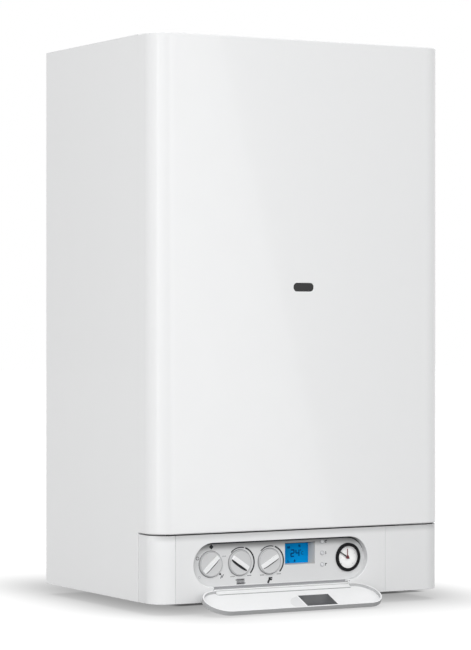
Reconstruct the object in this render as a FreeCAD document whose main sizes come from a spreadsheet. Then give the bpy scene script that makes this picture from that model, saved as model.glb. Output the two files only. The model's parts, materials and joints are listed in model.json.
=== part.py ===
import FreeCAD, Part
import os
import types

import Sketcher
from FreeCAD import Placement, Rotation, Vector

# Wall-hung gas boiler, in millimetres.
# X runs to the right seen from the front, Y runs towards the wall and Z runs up.
# Heights in the sheet are above the casing base and depths are from the wall plane. The finished pieces
# stand in a frame whose origin is midway between the two hanging holes, on the wall plane.

SIZES = [
    # Casing
    ("casing_width", 440, "front cover, side to side"),
    ("casing_depth", 324, "wall plane to the front of the cover"),
    ("casing_height", 730, "casing base to top"),
    ("casing_sheet", 1.2, "thickness of the cover, sides and top"),
    ("seat_gap", 0.3, "gap between pieces that sit on each other"),
    ("overcut", 1, "how far a cutting shape runs past the face that it opens"),
    ("frame_sheet", 1.5, "thickness of the rear frame"),
    ("frame_flange", 25, "forward flange of the rear frame"),
    ("hang_height_drop", 40, "hanging holes above the casing base, down from the casing top"),
    ("hang_spacing", 300, "between the hanging holes"),
    ("hang_hole_radius", 5.5, "hanging hole"),
    ("corner_radius", 28, "upright front corners of the cover"),
    ("edge_radius", 2, "top and bottom front edges of the cover"),
    ("cover_bottom", 88.7, "lower edge of the cover"),
    ("cover_return", 47, "how far the cover wraps back round the sides"),
    ("cover_proud", 1, "cover stands this far outside the pieces below and behind it"),
    ("cover_gap", 1.5, "gap under the cover"),
    ("seam_gap", 0.4, "joint between the cover and the side panels"),
    ("panel_flange", 40, "inward front flange of a side panel"),
    ("top_flange", 16, "downward front flange of the top panel"),
    ("stud_radius", 3, "cover stud"),
    ("stud_fit", 0.3, "clearance of a stud in its flange hole"),
    ("stud_inset", 33, "stud from the outer face of the side panel"),
    ("stud_low", 160, "height of the lower studs"),
    ("stud_high_drop", 60, "height of the upper studs, down from the casing top"),
    ("stud_tail", 12, "stud length behind its flange"),
    ("slot_length", 30.4, "sight slot in the cover, sideways"),
    ("slot_height", 11.3, "sight slot in the cover, upwards"),
    ("slot_corner", 5, "corner radius of the sight slot"),
    ("slot_level", 405.5, "height of the middle of the sight slot"),
    ("pane_fit", 0.15, "clearance of the sight pane in its slot"),
    ("pane_lip", 4, "rim of the sight pane behind the cover"),
    ("pane_thick", 1.6, "thickness of that rim"),
    ("screw_head_radius", 4, "casing screw"),
    ("screw_head_height", 2.2, "casing screw"),
    ("screw_shank_radius", 1.8, "casing screw"),
    ("screw_length", 9, "casing screw under its head"),
    ("screw_inset", 12, "screw from the side of the top panel"),
    ("screw_front_share", 0.70987654, "front screws from the wall, part of the casing depth"),
    ("screw_back_share", 0.18518519, "rear screws from the wall, part of the casing depth"),
    # Pipe bracket across the bottom
    ("bracket_level", 60, "underside of the pipe bracket"),
    ("bracket_sheet", 2, "thickness of the pipe bracket"),
    ("bracket_depth_share", 0.68518519, "front of the pipe bracket from the wall, part of the casing depth"),
    ("bracket_drop", 46, "front flange of the pipe bracket, downwards"),
    # Lower front: cheeks and control panel
    ("cheek_wall", 2.5, "wall of the moulded cheeks"),
    ("left_cheek_wide", 29.5, "side of the casing to the joint between left cheek and control panel"),
    ("module_right_share", 0.28954545, "joint between control panel and right cheek, part of the casing width"),
    ("module_joint", 0.25, "width of those joints"),
    ("panel_wall", 2.5, "front and edge wall of the control panel"),
    ("panel_deep", 12, "depth of the control panel"),
    ("recess_left_share", -0.30636364, "centre of the recess's left arc, part of the casing width"),
    ("recess_right_share", 0.16113636, "centre of the recess's right arc, part of the casing width"),
    ("recess_level", 47.5, "height of the recess's middle"),
    ("recess_radius", 28.5, "end radius of the recess"),
    ("recess_deep", 9, "recess floor behind the front face"),
    ("recess_wall", 2, "wall round the recess"),
    ("recess_bevel", 0.5, "edge of the recess, which the flap's corner passes"),
    ("dial_level", 48, "height of the knobs and the gauge"),
    ("display_left_share", -0.05113636, "left edge of the display opening, part of the casing width"),
    ("display_right_share", 0.05295455, "right edge of the display opening, part of the casing width"),
    ("display_low", 41.9, "lower edge of the display opening"),
    ("display_high", 69.7, "upper edge of the display opening"),
    ("display_well", 18, "display behind the recess floor"),
    ("well_wall", 1.5, "wall of the display well"),
    ("screen_lip", 3, "display wider than its opening on each side"),
    ("screen_thick", 5, "thickness of the display"),
    # Knobs
    ("knob_one_share", -0.30409091, "mode knob, part of the casing width"),
    ("knob_two_share", -0.20590909, "heating knob, part of the casing width"),
    ("knob_three_share", -0.10545455, "hot-water knob, part of the casing width"),
    ("knob_radius", 16.4, "knob disc"),
    ("knob_lift", 0.4, "knob disc above the recess floor"),
    ("knob_disc", 2.8, "top of the knob disc above the recess floor"),
    ("knob_bevel", 0.5, "edge of the knob disc"),
    ("grip_top", 4.6, "top of the grip bar above the recess floor"),
    ("grip_length", 28.5, "grip bar"),
    ("grip_width", 5.6, "grip bar"),
    ("grip_point", 5, "slope of the bar's pointing end"),
    ("grip_tail", 1.5, "slope of the bar's other end"),
    ("spindle_radius", 3, "knob spindle"),
    ("spindle_reach", 19, "spindle behind the recess floor"),
    ("spindle_fit", 0.05, "running clearance of a spindle"),
    ("spindle_hole", 3.6, "hole for a spindle in the recess floor"),
    ("encoder_radius", 9, "knob encoder"),
    ("mode_angle", 224, "mode knob, counter-clockwise from pointing right"),
    ("heating_angle", -34, "heating knob, the same way"),
    ("hot_water_angle", 210, "hot-water knob, the same way"),
    # Buttons
    ("button_place_share", 0.07795455, "buttons, sideways, part of the casing width"),
    ("button_top", 70.3, "height of the upper button"),
    ("button_pitch", 15.2, "between buttons"),
    ("button_radius", 2.25, "button head"),
    ("button_proud", 1.6, "button above the recess floor"),
    ("button_dome", 0.7, "rounding of the button head"),
    ("button_fit", 0.15, "clearance of the button in its hole"),
    ("button_collar", 3.2, "collar that holds the button behind the floor"),
    ("button_collar_thick", 1, "thickness of that collar"),
    ("button_stem", 1.6, "stem radius"),
    ("button_reach", 14, "stem behind the recess floor"),
    ("button_travel", 1.3, "room for the stem in front of its switch"),
    ("switch_radius", 2.5, "push switch on the board"),
    # Pressure gauge
    ("gauge_place_share", 0.16840909, "gauge, sideways, part of the casing width"),
    ("gauge_outer", 19, "bezel radius"),
    ("gauge_inner", 14.6, "opening of the bezel"),
    ("gauge_proud", 1.9, "bezel above the recess floor"),
    ("gauge_bevel", 0.7, "outer edge of the bezel"),
    ("gauge_case_radius", 17.6, "gauge case"),
    ("gauge_case_fit", 0.2, "clearance of the case in the recess floor"),
    ("gauge_case_deep", 24, "gauge case behind the recess floor"),
    ("dial_radius", 16.3, "dial"),
    ("dial_deep", 2.5, "back of the dial behind the recess floor"),
    ("dial_thick", 0.6, "dial"),
    ("lens_radius", 16.1, "gauge lens"),
    ("lens_front", 1.25, "front of the lens above the recess floor"),
    ("lens_back", 0.2, "back of the lens above the recess floor"),
    ("lens_fit", 0.1, "clearance of the lens in its bezel"),
    ("arbor_radius", 0.75, "needle arbor"),
    ("arbor_reach", 7, "end of the arbor behind the recess floor"),
    ("hand_thick", 0.4, "needle and set hand"),
    ("needle_plane", 1, "front of the needle behind the recess floor"),
    ("needle_hub", 2, "needle hub radius"),
    ("needle_length", 14.2, "needle from its arbor"),
    ("needle_tail", 4, "needle behind its arbor"),
    ("needle_width", 1.8, "needle"),
    ("needle_angle", 148, "needle, counter-clockwise from pointing right"),
    ("set_plane", 0.3, "front of the set hand behind the recess floor"),
    ("set_hub", 2.4, "set hand hub radius"),
    ("set_length", 11, "set hand from the arbor"),
    ("set_width", 1.1, "set hand"),
    ("set_angle", 90, "set hand, counter-clockwise from pointing right"),
    # Flap
    ("hinge_inset", 2.56, "hinge axis behind the control panel's front face"),
    ("hinge_level", 14.2, "hinge axis height"),
    ("hinge_pin_radius", 1.25, "hinge pin"),
    ("hinge_pin_fit", 0.05, "running clearance of the hinge pin"),
    ("hinge_pin_end", 4, "hinge pin held at each end"),
    ("knuckle_radius", 2.5, "hinge knuckle of the flap"),
    ("leaf_end", 1.8, "hinge leaf shorter than the recess's straight edge at each end"),
    ("hinge_end_gap", 0.5, "end clearance of the leaf in its slot"),
    ("hinge_slot_low", 9.9, "lower edge of the hinge slot"),
    ("hinge_slot_deep", 6, "hinge slot behind the front face"),
    ("hinge_block", 3, "moulded block round the hinge slot"),
    ("flap_fit", 0.5, "clearance of the closed flap in the recess"),
    ("flap_thick", 6, "flap over its rim"),
    ("flap_floor", 2, "plate of the flap"),
    ("flap_rim", 2, "rim of the flap"),
    ("flap_open", 113, "angle from closed to the open flap's stop"),
    ("leaf_rise", 0.8, "strip along the hinge above the flap's plate"),
    ("leaf_reach", 11, "that strip from the hinge axis"),
    ("boss_height", 2.06, "raised window frame above the flap's plate"),
    ("boss_frame", 1.5, "frame left round the window"),
    ("boss_ramp", 17, "slope from the frame down to the plate"),
    ("window_thick", 1.5, "tinted window"),
    ("window_lip", 1.5, "ledge behind the window"),
    ("window_fit", 0.1, "clearance of the window in its frame"),
    # Control box
    ("box_wall", 2, "wall of the control box"),
    ("box_margin", 3, "control box inside the control panel's edge"),
    ("box_side", 1, "left side of the control box clear of the side panel's flange"),
    ("board_inset", 27, "front of the board behind the control panel"),
    ("board_thick", 1.6, "control board"),
    ("board_right_share", 0.1, "right end of the board, part of the casing width"),
    ("transformer_wide", 46, "transformer on the board"),
    ("transformer_tall", 38, "transformer on the board"),
    ("transformer_share", 0.6, "transformer, part of the depth behind the board"),
    ("relay_share", 0.34, "relays, part of the depth behind the board"),
    ("relay_count", 4, "relays on the board"),
    ("gland_radius", 9, "cable inlet under the control box"),
    ("gland_bore", 5, "cable inlet"),
    ("gland_drop", 1.5, "cable inlet below the box"),
    ("gland_place_share", 0.22727273, "cable inlet, sideways, part of the casing width"),
    # Combustion, from the burner up to the flue
    ("hearth_half", 122, "half width of the chamber, exchanger and hood"),
    ("hearth_front_share", 0.80864198, "front of the chamber from the wall, part of the casing depth"),
    ("hearth_back_share", 0.2962963, "back of the chamber from the wall, part of the casing depth"),
    ("hearth_sheet", 1.2, "sheet of the chamber and hood"),
    ("chamber_low", 380, "bottom of the chamber"),
    ("exchanger_low_drop", 175, "bottom of the heat exchanger, down from the casing top"),
    ("exchanger_high_drop", 118, "top of the heat exchanger, down from the casing top"),
    ("hood_high_drop", 40, "top of the draught hood, down from the casing top"),
    ("vent_half", 80, "half width of the hood's draught opening"),
    ("vent_low_drop", 100, "lower edge of that opening, down from the casing top"),
    ("vent_high_drop", 58, "upper edge of that opening, down from the casing top"),
    ("flue_place_share", 0.55246914, "flue axis from the wall, part of the casing depth"),
    ("flue_radius", 65.5, "bore of the flue collar"),
    ("collar_wall", 1.5, "flue collar"),
    ("collar_low_drop", 58, "lower end of the collar, down from the casing top"),
    ("collar_high_drop", -8, "upper end of the collar, down from the casing top"),
    ("collar_flange", 80, "radius of the collar's flange"),
    ("collar_fit", 1.5, "clearance of the collar in the top panel"),
    ("arm_width", 14, "support arms under the chamber"),
    ("arm_thick", 3, "support arms under the chamber"),
    ("fin_count", 30, "fins of the heat exchanger"),
    ("fin_thick", 0.8, "fin"),
    ("fin_margin", 5, "first fin from the exchanger's end plate"),
    ("tube_count", 5, "tubes through the fins"),
    ("tube_first_share", 0.72222222, "front tube from the wall, part of the casing depth"),
    ("tube_pitch_share", 0.08641975, "between tubes, part of the casing depth"),
    ("tube_radius", 9, "exchanger tube"),
    ("tube_level_drop", 146, "height of the tubes, down from the casing top"),
    ("tube_beyond", 12, "free tube ends beyond the chamber wall"),
    ("pipe_bore", 8, "bore radius of the heating pipes"),
    ("sight_radius", 12, "sight hole in the chamber front"),
    ("sight_ring", 18, "ring round the sight hole"),
    ("sight_ring_deep", 6, "depth of that ring"),
    ("glass_radius", 17, "sight glass"),
    ("glass_thick", 3, "sight glass"),
    ("electrode_level", 399, "height of the electrodes"),
    ("electrode_radius", 4, "ceramic of an electrode"),
    ("electrode_fit", 0.2, "clearance of the ceramic in the chamber front"),
    ("electrode_outside", 22, "ceramic in front of the chamber"),
    ("electrode_inside", 13, "ceramic behind the chamber front"),
    ("wire_radius", 1.2, "electrode wire"),
    ("wire_length", 22, "electrode wire"),
    ("electrode_one", -62, "first electrode, sideways"),
    ("electrode_two", -44, "second electrode, sideways"),
    ("electrode_three", 58, "sensing electrode, sideways"),
    ("blade_count", 12, "burner blades"),
    ("blade_pitch", 18, "between burner blades"),
    ("blade_width", 9, "burner blade"),
    ("blade_low", 333, "bottom of the burner blades"),
    ("blade_top", 0.7, "top of the blades below the burner frame's edge"),
    ("burner_half", 117, "half width of the burner frame"),
    ("burner_front_share", 0.78395062, "front of the burner frame from the wall, part of the casing depth"),
    ("burner_back_share", 0.3117284, "back of the burner frame from the wall, part of the casing depth"),
    ("burner_low", 340, "bottom of the burner frame"),
    ("burner_slot_low", 345, "air slot in the burner frame"),
    ("burner_slot_high", 361, "air slot in the burner frame"),
    ("burner_slot_half", 108, "half length of the air slot"),
    # Gas
    ("manifold_ahead", 16, "gas manifold in front of the burner frame"),
    ("manifold_level", 353, "height of the manifold"),
    ("manifold_radius", 9, "gas manifold"),
    ("manifold_half", 114, "half length of the manifold"),
    ("nozzle_radius", 3.5, "injector"),
    ("nozzle_reach", 15, "injector tip from the manifold axis"),
    ("lug_width", 6, "lugs that carry the manifold"),
    ("lug_height", 10, "lugs that carry the manifold"),
    ("inlet_radius", 12, "inlet socket of the manifold"),
    ("inlet_drop", 16, "inlet socket below the manifold axis"),
    ("gas_level", 318, "height of the gas pipe's run"),
    ("gas_radius", 9, "gas pipe"),
    ("gas_bore", 8, "gas pipe"),
    ("gas_bend", 18, "bend radius of the gas pipe"),
    ("valve_half", 32, "half width of the gas valve"),
    ("valve_front_share", 0.42592593, "front of the gas valve from the wall, part of the casing depth"),
    ("valve_back_share", 0.25308642, "back of the gas valve from the wall, part of the casing depth"),
    ("valve_low", 190, "bottom of the gas valve"),
    ("valve_high", 280, "top of the gas valve"),
    ("valve_boss_radius", 16, "pipe bosses of the gas valve"),
    ("valve_boss", 8, "pipe bosses of the gas valve"),
    ("coil_radius", 14.5, "valve coil"),
    ("coil_length", 38, "valve coil"),
    ("coil_place", 16, "valve coils, sideways"),
    ("coil_level", 255, "height of the coils"),
    ("regulator_radius", 10, "pressure regulator cap"),
    ("regulator_length", 14, "pressure regulator cap"),
    ("regulator_level", 214, "height of the regulator cap"),
    # Water
    ("vessel_half_share", 0.38181818, "half width of the expansion vessel, part of the casing width"),
    ("vessel_low", 335, "bottom of the expansion vessel"),
    ("vessel_high_drop", 75, "top of the expansion vessel, down from the casing top"),
    ("vessel_deep_share", 0.22222222, "depth of the expansion vessel, part of the casing depth"),
    ("vessel_round", 24, "rounding of the expansion vessel"),
    ("vessel_wall", 1.5, "wall of the expansion vessel"),
    ("vessel_port", 5, "water port under the vessel"),
    ("seam_width", 5, "welded seam of the vessel"),
    ("seam_thick", 3, "welded seam of the vessel"),
    ("stub_row_share", 0.33950617, "connection stubs from the wall, part of the casing depth"),
    ("stub_pitch_share", 0.15909091, "between connection stubs, part of the casing width"),
    ("stub_end", -10, "lower end of the stubs"),
    ("stub_large", 13.2, "three-quarter inch stub"),
    ("stub_small", 10.5, "half inch stub"),
    ("stub_thread", 24, "threaded length"),
    ("stub_step", 0.8, "stub thinner above its thread"),
    ("stub_wall", 3, "stub"),
    ("stub_fit", 0.4, "stub in the pipe bracket"),
    ("nut_margin", 5, "nut under the bracket wider than its stub"),
    ("nut_height", 9, "nut under the bracket"),
    ("stub_top", 80, "top of the flow and cold stubs"),
    ("plate_left_share", -0.25681818, "left side of the plate exchanger, part of the casing width"),
    ("plate_right_share", -0.10227273, "right side of the plate exchanger, part of the casing width"),
    ("plate_front_share", 0.41666667, "front of the plate exchanger from the wall, part of the casing depth"),
    ("plate_back_share", 0.26234568, "back of the plate exchanger from the wall, part of the casing depth"),
    ("plate_low", 105, "bottom of the plate exchanger"),
    ("plate_high", 295, "top of the plate exchanger"),
    ("plate_count", 12, "pressed plates"),
    ("plate_step", 2, "core of the plate exchanger inside its plates"),
    ("plate_share", 0.6, "part of the pitch that a plate fills"),
    ("diverter_radius", 17, "diverter valve body"),
    ("diverter_high", 150, "top of the diverter valve"),
    ("port_level", 125, "height of the diverter's side ports"),
    ("port_radius", 11, "diverter side ports"),
    ("port_reach_share", 0.06136364, "left port from the diverter's axis, part of the casing width"),
    ("actuator_half", 21, "half width of the actuator"),
    ("actuator_height", 52, "actuator"),
    ("actuator_neck", 8, "neck of the actuator"),
    ("pump_radius", 48, "pump housing"),
    ("pump_level", 190, "height of the pump shaft"),
    ("pump_back_share", 0.29938272, "back of the pump housing from the wall, part of the casing depth"),
    ("pump_front_share", 0.4537037, "front of the pump housing from the wall, part of the casing depth"),
    ("pump_cavity", 40, "impeller space in the pump housing"),
    ("pump_wall", 12, "back wall of the pump housing"),
    ("pump_axis_share", 0.37654321, "pump sockets from the wall, part of the casing depth"),
    ("pump_boss", 16, "pump sockets"),
    ("pump_socket", 10, "pump sockets beyond the housing"),
    ("motor_flange", 6, "motor flange"),
    ("motor_radius", 42, "motor can"),
    ("motor_front_share", 0.69753086, "front of the motor from the wall, part of the casing depth"),
    ("motor_cavity", 32, "space for the rotor"),
    ("motor_cap", 10, "front wall of the motor"),
    ("terminal_half", 30, "terminal box"),
    ("terminal_height", 30, "top of the terminal box above the motor can"),
    ("rotor_radius", 29, "pump rotor"),
    ("impeller_radius", 37, "impeller"),
    ("impeller_front_share", 0.44135802, "front of the impeller from the wall, part of the casing depth"),
    ("impeller_back_share", 0.34876543, "back of the impeller from the wall, part of the casing depth"),
    ("shaft_radius", 5, "pump shaft"),
    ("rotor_front_share", 0.63580247, "front of the rotor from the wall, part of the casing depth"),
    ("rotor_back_share", 0.49382716, "back of the rotor from the wall, part of the casing depth"),
    ("shaft_end_share", 0.6882716, "front end of the shaft from the wall, part of the casing depth"),
    ("pipe_radius", 9, "heating pipes"),
    ("pipe_bend_share", 0.03636364, "bend radius of the heating pipes, part of the casing width"),
    ("flow_place_share", -0.42272727, "flow pipe's drop, sideways, part of the casing width"),
    ("riser_place_share", 0.42727273, "return riser, sideways, part of the casing width"),
    ("riser_turn", 292, "height where the riser turns outwards"),
    ("cold_radius", 7.5, "cold-water pipe"),
    ("cold_bore", 6.5, "cold-water pipe"),
    ("cold_level", 165, "height of the cold-water pipe's run"),
    ("cold_back_share", 0.14814815, "cold-water pipe's run from the wall, part of the casing depth"),
    ("cold_bend", 16, "bend radius of the cold-water pipe"),
    ("cold_end_share", -0.17954545, "cold-water pipe at the plate exchanger, sideways, part of the casing width"),
    ("safety_level", 102, "height of the safety valve"),
    ("safety_neck", 8, "neck of the safety valve"),
    ("safety_radius", 12, "body of the safety valve"),
    ("safety_start_share", 0.36818182, "body of the safety valve, sideways, part of the casing width"),
    ("safety_end_share", 0.41818182, "outer end of the safety valve, sideways, part of the casing width"),
    ("cap_radius", 14, "cap of the safety valve"),
    ("cap_length", 17, "cap of the safety valve"),
    ("cap_pin", 4, "pin that carries a cap or knob"),
    ("cap_pin_reach", 11, "that pin's length"),
    ("cap_sides", 12, "flats round a cap or knob"),
    ("vent_beside", 18, "air vent beyond the free tube end"),
    ("vent_radius", 10, "air vent"),
    ("vent_body", 38, "air vent"),
    ("vent_cap_radius", 5, "air vent cap"),
    ("vent_cap", 8, "air vent cap"),
    ("tap_level", 36, "height of the filling tap"),
    ("tap_radius", 7, "filling tap"),
    ("tap_boss", 9, "front boss of the filling tap"),
    ("tap_reach", 20, "front boss of the filling tap"),
    ("tap_knob_radius", 13, "knob of the filling tap"),
    ("tap_knob_length", 14, "knob of the filling tap"),
]


class Size:
    """A number together with the sheet expression that gives it, so that sums keep their tie to the sheet."""

    def __init__(self, number, text):
        self.number = number
        self.text = text

    def __add__(self, other):
        other = size(other)
        return Size(self.number + other.number, f"({self.text} + {other.text})")

    def __sub__(self, other):
        other = size(other)
        return Size(self.number - other.number, f"({self.text} - {other.text})")

    def __mul__(self, other):
        other = size(other)
        return Size(self.number * other.number, f"({self.text} * {other.text})")

    def __truediv__(self, other):
        other = size(other)
        return Size(self.number / other.number, f"({self.text} / {other.text})")

    def __radd__(self, other):
        return size(other) + self

    def __rsub__(self, other):
        return size(other) - self

    def __rmul__(self, other):
        return size(other) * self

    def __neg__(self):
        return Size(-self.number, f"(-{self.text})")


def size(value):
    """A plain number as a Size."""
    return value if isinstance(value, Size) else Size(value, f"({value})")


doc = FreeCAD.newDocument("boiler")
sheet = doc.addObject("Spreadsheet::Sheet", "Sizes")
S = types.SimpleNamespace()
for row, (alias, value, note) in enumerate(SIZES, start=1):
    sheet.set(f"A{row}", note)
    sheet.set(f"B{row}", str(value))
    sheet.setAlias(f"B{row}", alias)
    setattr(S, alias, Size(value, f"Sizes.{alias}"))
doc.recompute()

# Places that follow the casing when its width, height or depth changes
ACROSS_THE_CASING = (
    "module_right recess_left recess_right display_left display_right knob_one knob_two knob_three button_place "
    "gauge_place board_right gland_place vessel_half stub_pitch plate_left plate_right port_reach flow_place riser_place "
    "pipe_bend cold_end safety_start safety_end"
)
DOWN_THE_CASING = (
    "hang_height stud_high exchanger_low exchanger_high hood_high vent_low vent_high collar_low collar_high "
    "tube_level vessel_high"
)
INTO_THE_CASING = (
    "bracket_depth hearth_front hearth_back flue_place tube_first tube_pitch burner_front burner_back stub_row "
    "valve_front valve_back plate_front plate_back pump_back pump_front pump_axis motor_front impeller_front "
    "impeller_back rotor_front rotor_back shaft_end cold_back vessel_deep screw_front screw_back"
)
S.tube_end = S.hearth_half + S.tube_beyond
for alias in ACROSS_THE_CASING.split():
    setattr(S, alias, S.casing_width * getattr(S, alias + "_share"))
for alias in DOWN_THE_CASING.split():
    setattr(S, alias, S.casing_height - getattr(S, alias + "_drop"))
for alias in INTO_THE_CASING.split():
    setattr(S, alias, S.casing_depth * getattr(S, alias + "_share"))


def tie(thing, path, value):
    """Binds one property to the sheet."""
    thing.setExpression(path, size(value).text)


# Primitives and booleans

TURNS = {"x": Rotation(Vector(0, 1, 0), 90), "y": Rotation(Vector(1, 0, 0), -90), "z": Rotation()}
ACROSS = {"x": "yz", "y": "xz", "z": "xy"}


def box(name, x, y, z):
    """A block between a low and a high value on each axis."""
    block = doc.addObject("Part::Box", name)
    for length, axis, (low, high) in zip(("Length", "Width", "Height"), "xyz", (x, y, z)):
        tie(block, length, size(high) - low)
        tie(block, "Placement.Base." + axis, low)
    return block


def along(solid, axis, centre, span):
    """Lays a round solid along an axis: centre is its place on the other two axes, span its two ends."""
    solid.Placement = Placement(Vector(), TURNS[axis])
    tie(solid, "Height", size(span[1]) - span[0])
    tie(solid, "Placement.Base." + axis, span[0])
    for other, place in zip(ACROSS[axis], centre):
        tie(solid, "Placement.Base." + other, place)
    return solid


def cylinder(name, radius, axis, centre, span):
    solid = doc.addObject("Part::Cylinder", name)
    tie(solid, "Radius", radius)
    return along(solid, axis, centre, span)


def prism(name, sides, radius, axis, centre, span):
    solid = doc.addObject("Part::Prism", name)
    tie(solid, "Polygon", sides)
    tie(solid, "Circumradius", radius)
    return along(solid, axis, centre, span)


def join(name, *pieces):
    """One solid of pieces that touch or overlap."""
    solid = doc.addObject("Part::MultiFuse", name)
    solid.Shapes = list(pieces)
    solid.Refine = True
    return solid


def cut(name, base, *tools):
    solid = doc.addObject("Part::Cut", name)
    solid.Base = base
    solid.Tool = tools[0] if len(tools) == 1 else join(name + "Tools", *tools)
    return solid


def group(name, *pieces):
    """Separate solids under one name."""
    together = doc.addObject("Part::Compound", name)
    together.Links = list(pieces)
    return together


def pipe(name, corners, radius, bore, bend):
    """A round tube through corner points, with an arc of the bend radius at each corner."""
    points = [Vector(*(size(value).number for value in corner)) for corner in corners]
    edges = []
    start = points[0]
    for before, corner, after in zip(points, points[1:], points[2:]):
        back = (before - corner).normalize()
        ahead = (after - corner).normalize()
        enter = corner + back * bend.number
        leave = corner + ahead * bend.number
        centre = enter + ahead * bend.number
        middle = centre + (corner - centre).normalize() * bend.number
        edges += [Part.LineSegment(start, enter).toShape(), Part.Arc(enter, middle, leave).toShape()]
        start = leave
    edges.append(Part.LineSegment(start, points[-1]).toShape())
    path = Part.Wire(edges)
    first = (points[1] - points[0]).normalize()
    skins = []
    for ring in (radius, bore):
        circle = Part.Wire(Part.Circle(points[0], first, ring.number).toShape())
        skins.append(path.makePipeShell([circle], True, True))
    tube = doc.addObject("Part::Feature", name)
    tube.Shape = skins[0].cut(skins[1])
    return tube


# Sketched bodies

PLANES = {"xy": ("XY_Plane", 1), "xz": ("XZ_Plane", -1), "yz": ("YZ_Plane", 1)}


def body(name):
    return doc.addObject("PartDesign::Body", name)


def origin_feature(owner, role):
    return next(feature for feature in owner.Origin.OriginFeatures if feature.Role == role)


def sketch(owner, plane, place=0):
    """A sketch on one of the body's own planes, moved to a place on the axis that the plane is square to."""
    role, sense = PLANES[plane]
    drawing = owner.newObject("Sketcher::SketchObject", owner.Name + "Sketch")
    drawing.AttachmentSupport = [(origin_feature(owner, role), "")]
    drawing.MapMode = "FlatFace"
    tie(drawing, "AttachmentOffset.Base.z", size(place) * sense)
    return drawing


def dimension(drawing, value, kind, *where):
    """A sketch dimension bound to the sheet."""
    index = drawing.addConstraint(Sketcher.Constraint(kind, *where, size(value).number))
    tie(drawing, f"Constraints[{index}]", value)


def circle(drawing, across, up, radius):
    place = Vector(size(across).number, size(up).number, 0)
    ring = drawing.addGeometry(Part.Circle(place, Vector(0, 0, 1), size(radius).number), False)
    dimension(drawing, radius, "Radius", ring)
    dimension(drawing, across, "DistanceX", -1, 1, ring, 3)
    dimension(drawing, up, "DistanceY", -1, 1, ring, 3)


def polygon(drawing, corners):
    """A closed outline of straight edges, with every corner placed from the sheet."""
    places = [Vector(size(across).number, size(up).number, 0) for across, up in corners]
    lines = [
        drawing.addGeometry(Part.LineSegment(start, end), False)
        for start, end in zip(places, places[1:] + places[:1])
    ]
    for line, following in zip(lines, lines[1:] + lines[:1]):
        drawing.addConstraint(Sketcher.Constraint("Coincident", line, 2, following, 1))
    for line, (across, up) in zip(lines, corners):
        dimension(drawing, across, "DistanceX", -1, 1, line, 1)
        dimension(drawing, up, "DistanceY", -1, 1, line, 1)


def rectangle(drawing, across, up):
    (left, right), (low, high) = across, up
    polygon(drawing, [(left, low), (right, low), (right, high), (left, high)])


def outline(drawing, corners):
    """A closed outline of level and upright edges. Each corner is across, up and a corner radius or None."""
    places = [Vector(size(across).number, size(up).number, 0) for across, up, radius in corners]
    count = len(corners)
    starts, ends, arcs = [], [], []
    for index, (across, up, radius) in enumerate(corners):
        place = places[index]
        if radius is None:
            ends.append(place)
            starts.append(place)
            arcs.append(None)
            continue
        back = (places[index - 1] - place).normalize()
        ahead = (places[(index + 1) % count] - place).normalize()
        reach = radius.number
        enter, leave = place + back * reach, place + ahead * reach
        centre = enter + ahead * reach
        middle = centre + (place - centre).normalize() * reach
        ends.append(enter)
        starts.append(leave)
        arcs.append(drawing.addGeometry(Part.Arc(enter, middle, leave), False))
    lines = []
    for index in range(count):
        following = (index + 1) % count
        lines.append(drawing.addGeometry(Part.LineSegment(starts[index], ends[following]), False))
    for index, (across, up, radius) in enumerate(corners):
        line = lines[index]
        level = abs(places[index].y - places[(index + 1) % count].y) < abs(
            places[index].x - places[(index + 1) % count].x
        )
        drawing.addConstraint(Sketcher.Constraint("Horizontal" if level else "Vertical", line))
        if level:
            dimension(drawing, up, "DistanceY", -1, 1, line, 1)
        else:
            dimension(drawing, across, "DistanceX", -1, 1, line, 1)
        arc = arcs[index]
        if arc is None:
            drawing.addConstraint(Sketcher.Constraint("Coincident", lines[index - 1], 2, line, 1))
            continue
        first, last = (1, 2)
        if (drawing.getPoint(arc, 1) - ends[index]).Length > (drawing.getPoint(arc, 2) - ends[index]).Length:
            first, last = (2, 1)
        drawing.addConstraint(Sketcher.Constraint("Tangent", lines[index - 1], 2, arc, first))
        drawing.addConstraint(Sketcher.Constraint("Tangent", arc, last, line, 1))
        dimension(drawing, radius, "Radius", arc)


def stadium(drawing, left, right, middle, radius):
    """A level slot with round ends, given by the centres of its two arcs."""
    low_left = Vector(left.number, middle.number - radius.number, 0)
    low_right = Vector(right.number, middle.number - radius.number, 0)
    high_right = Vector(right.number, middle.number + radius.number, 0)
    high_left = Vector(left.number, middle.number + radius.number, 0)
    right_tip = Vector(right.number + radius.number, middle.number, 0)
    left_tip = Vector(left.number - radius.number, middle.number, 0)
    floor = drawing.addGeometry(Part.LineSegment(low_left, low_right), False)
    right_arc = drawing.addGeometry(Part.Arc(low_right, right_tip, high_right), False)
    roof = drawing.addGeometry(Part.LineSegment(high_right, high_left), False)
    left_arc = drawing.addGeometry(Part.Arc(high_left, left_tip, low_left), False)
    for first, second in ((floor, right_arc), (right_arc, roof), (roof, left_arc), (left_arc, floor)):
        drawing.addConstraint(Sketcher.Constraint("Tangent", first, 2, second, 1))
    for arc, place in ((right_arc, right), (left_arc, left)):
        dimension(drawing, radius, "Radius", arc)
        dimension(drawing, place, "DistanceX", -1, 1, arc, 3)
        dimension(drawing, middle, "DistanceY", -1, 1, arc, 3)


def pad(owner, drawing, length, reverse=False):
    """Material from the sketch: up, to the front or to the right, or the other way where reversed."""
    feature = owner.newObject("PartDesign::Pad", owner.Name + "Pad")
    feature.Profile = drawing
    feature.Reversed = reverse
    tie(feature, "Length", length)
    return feature


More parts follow.
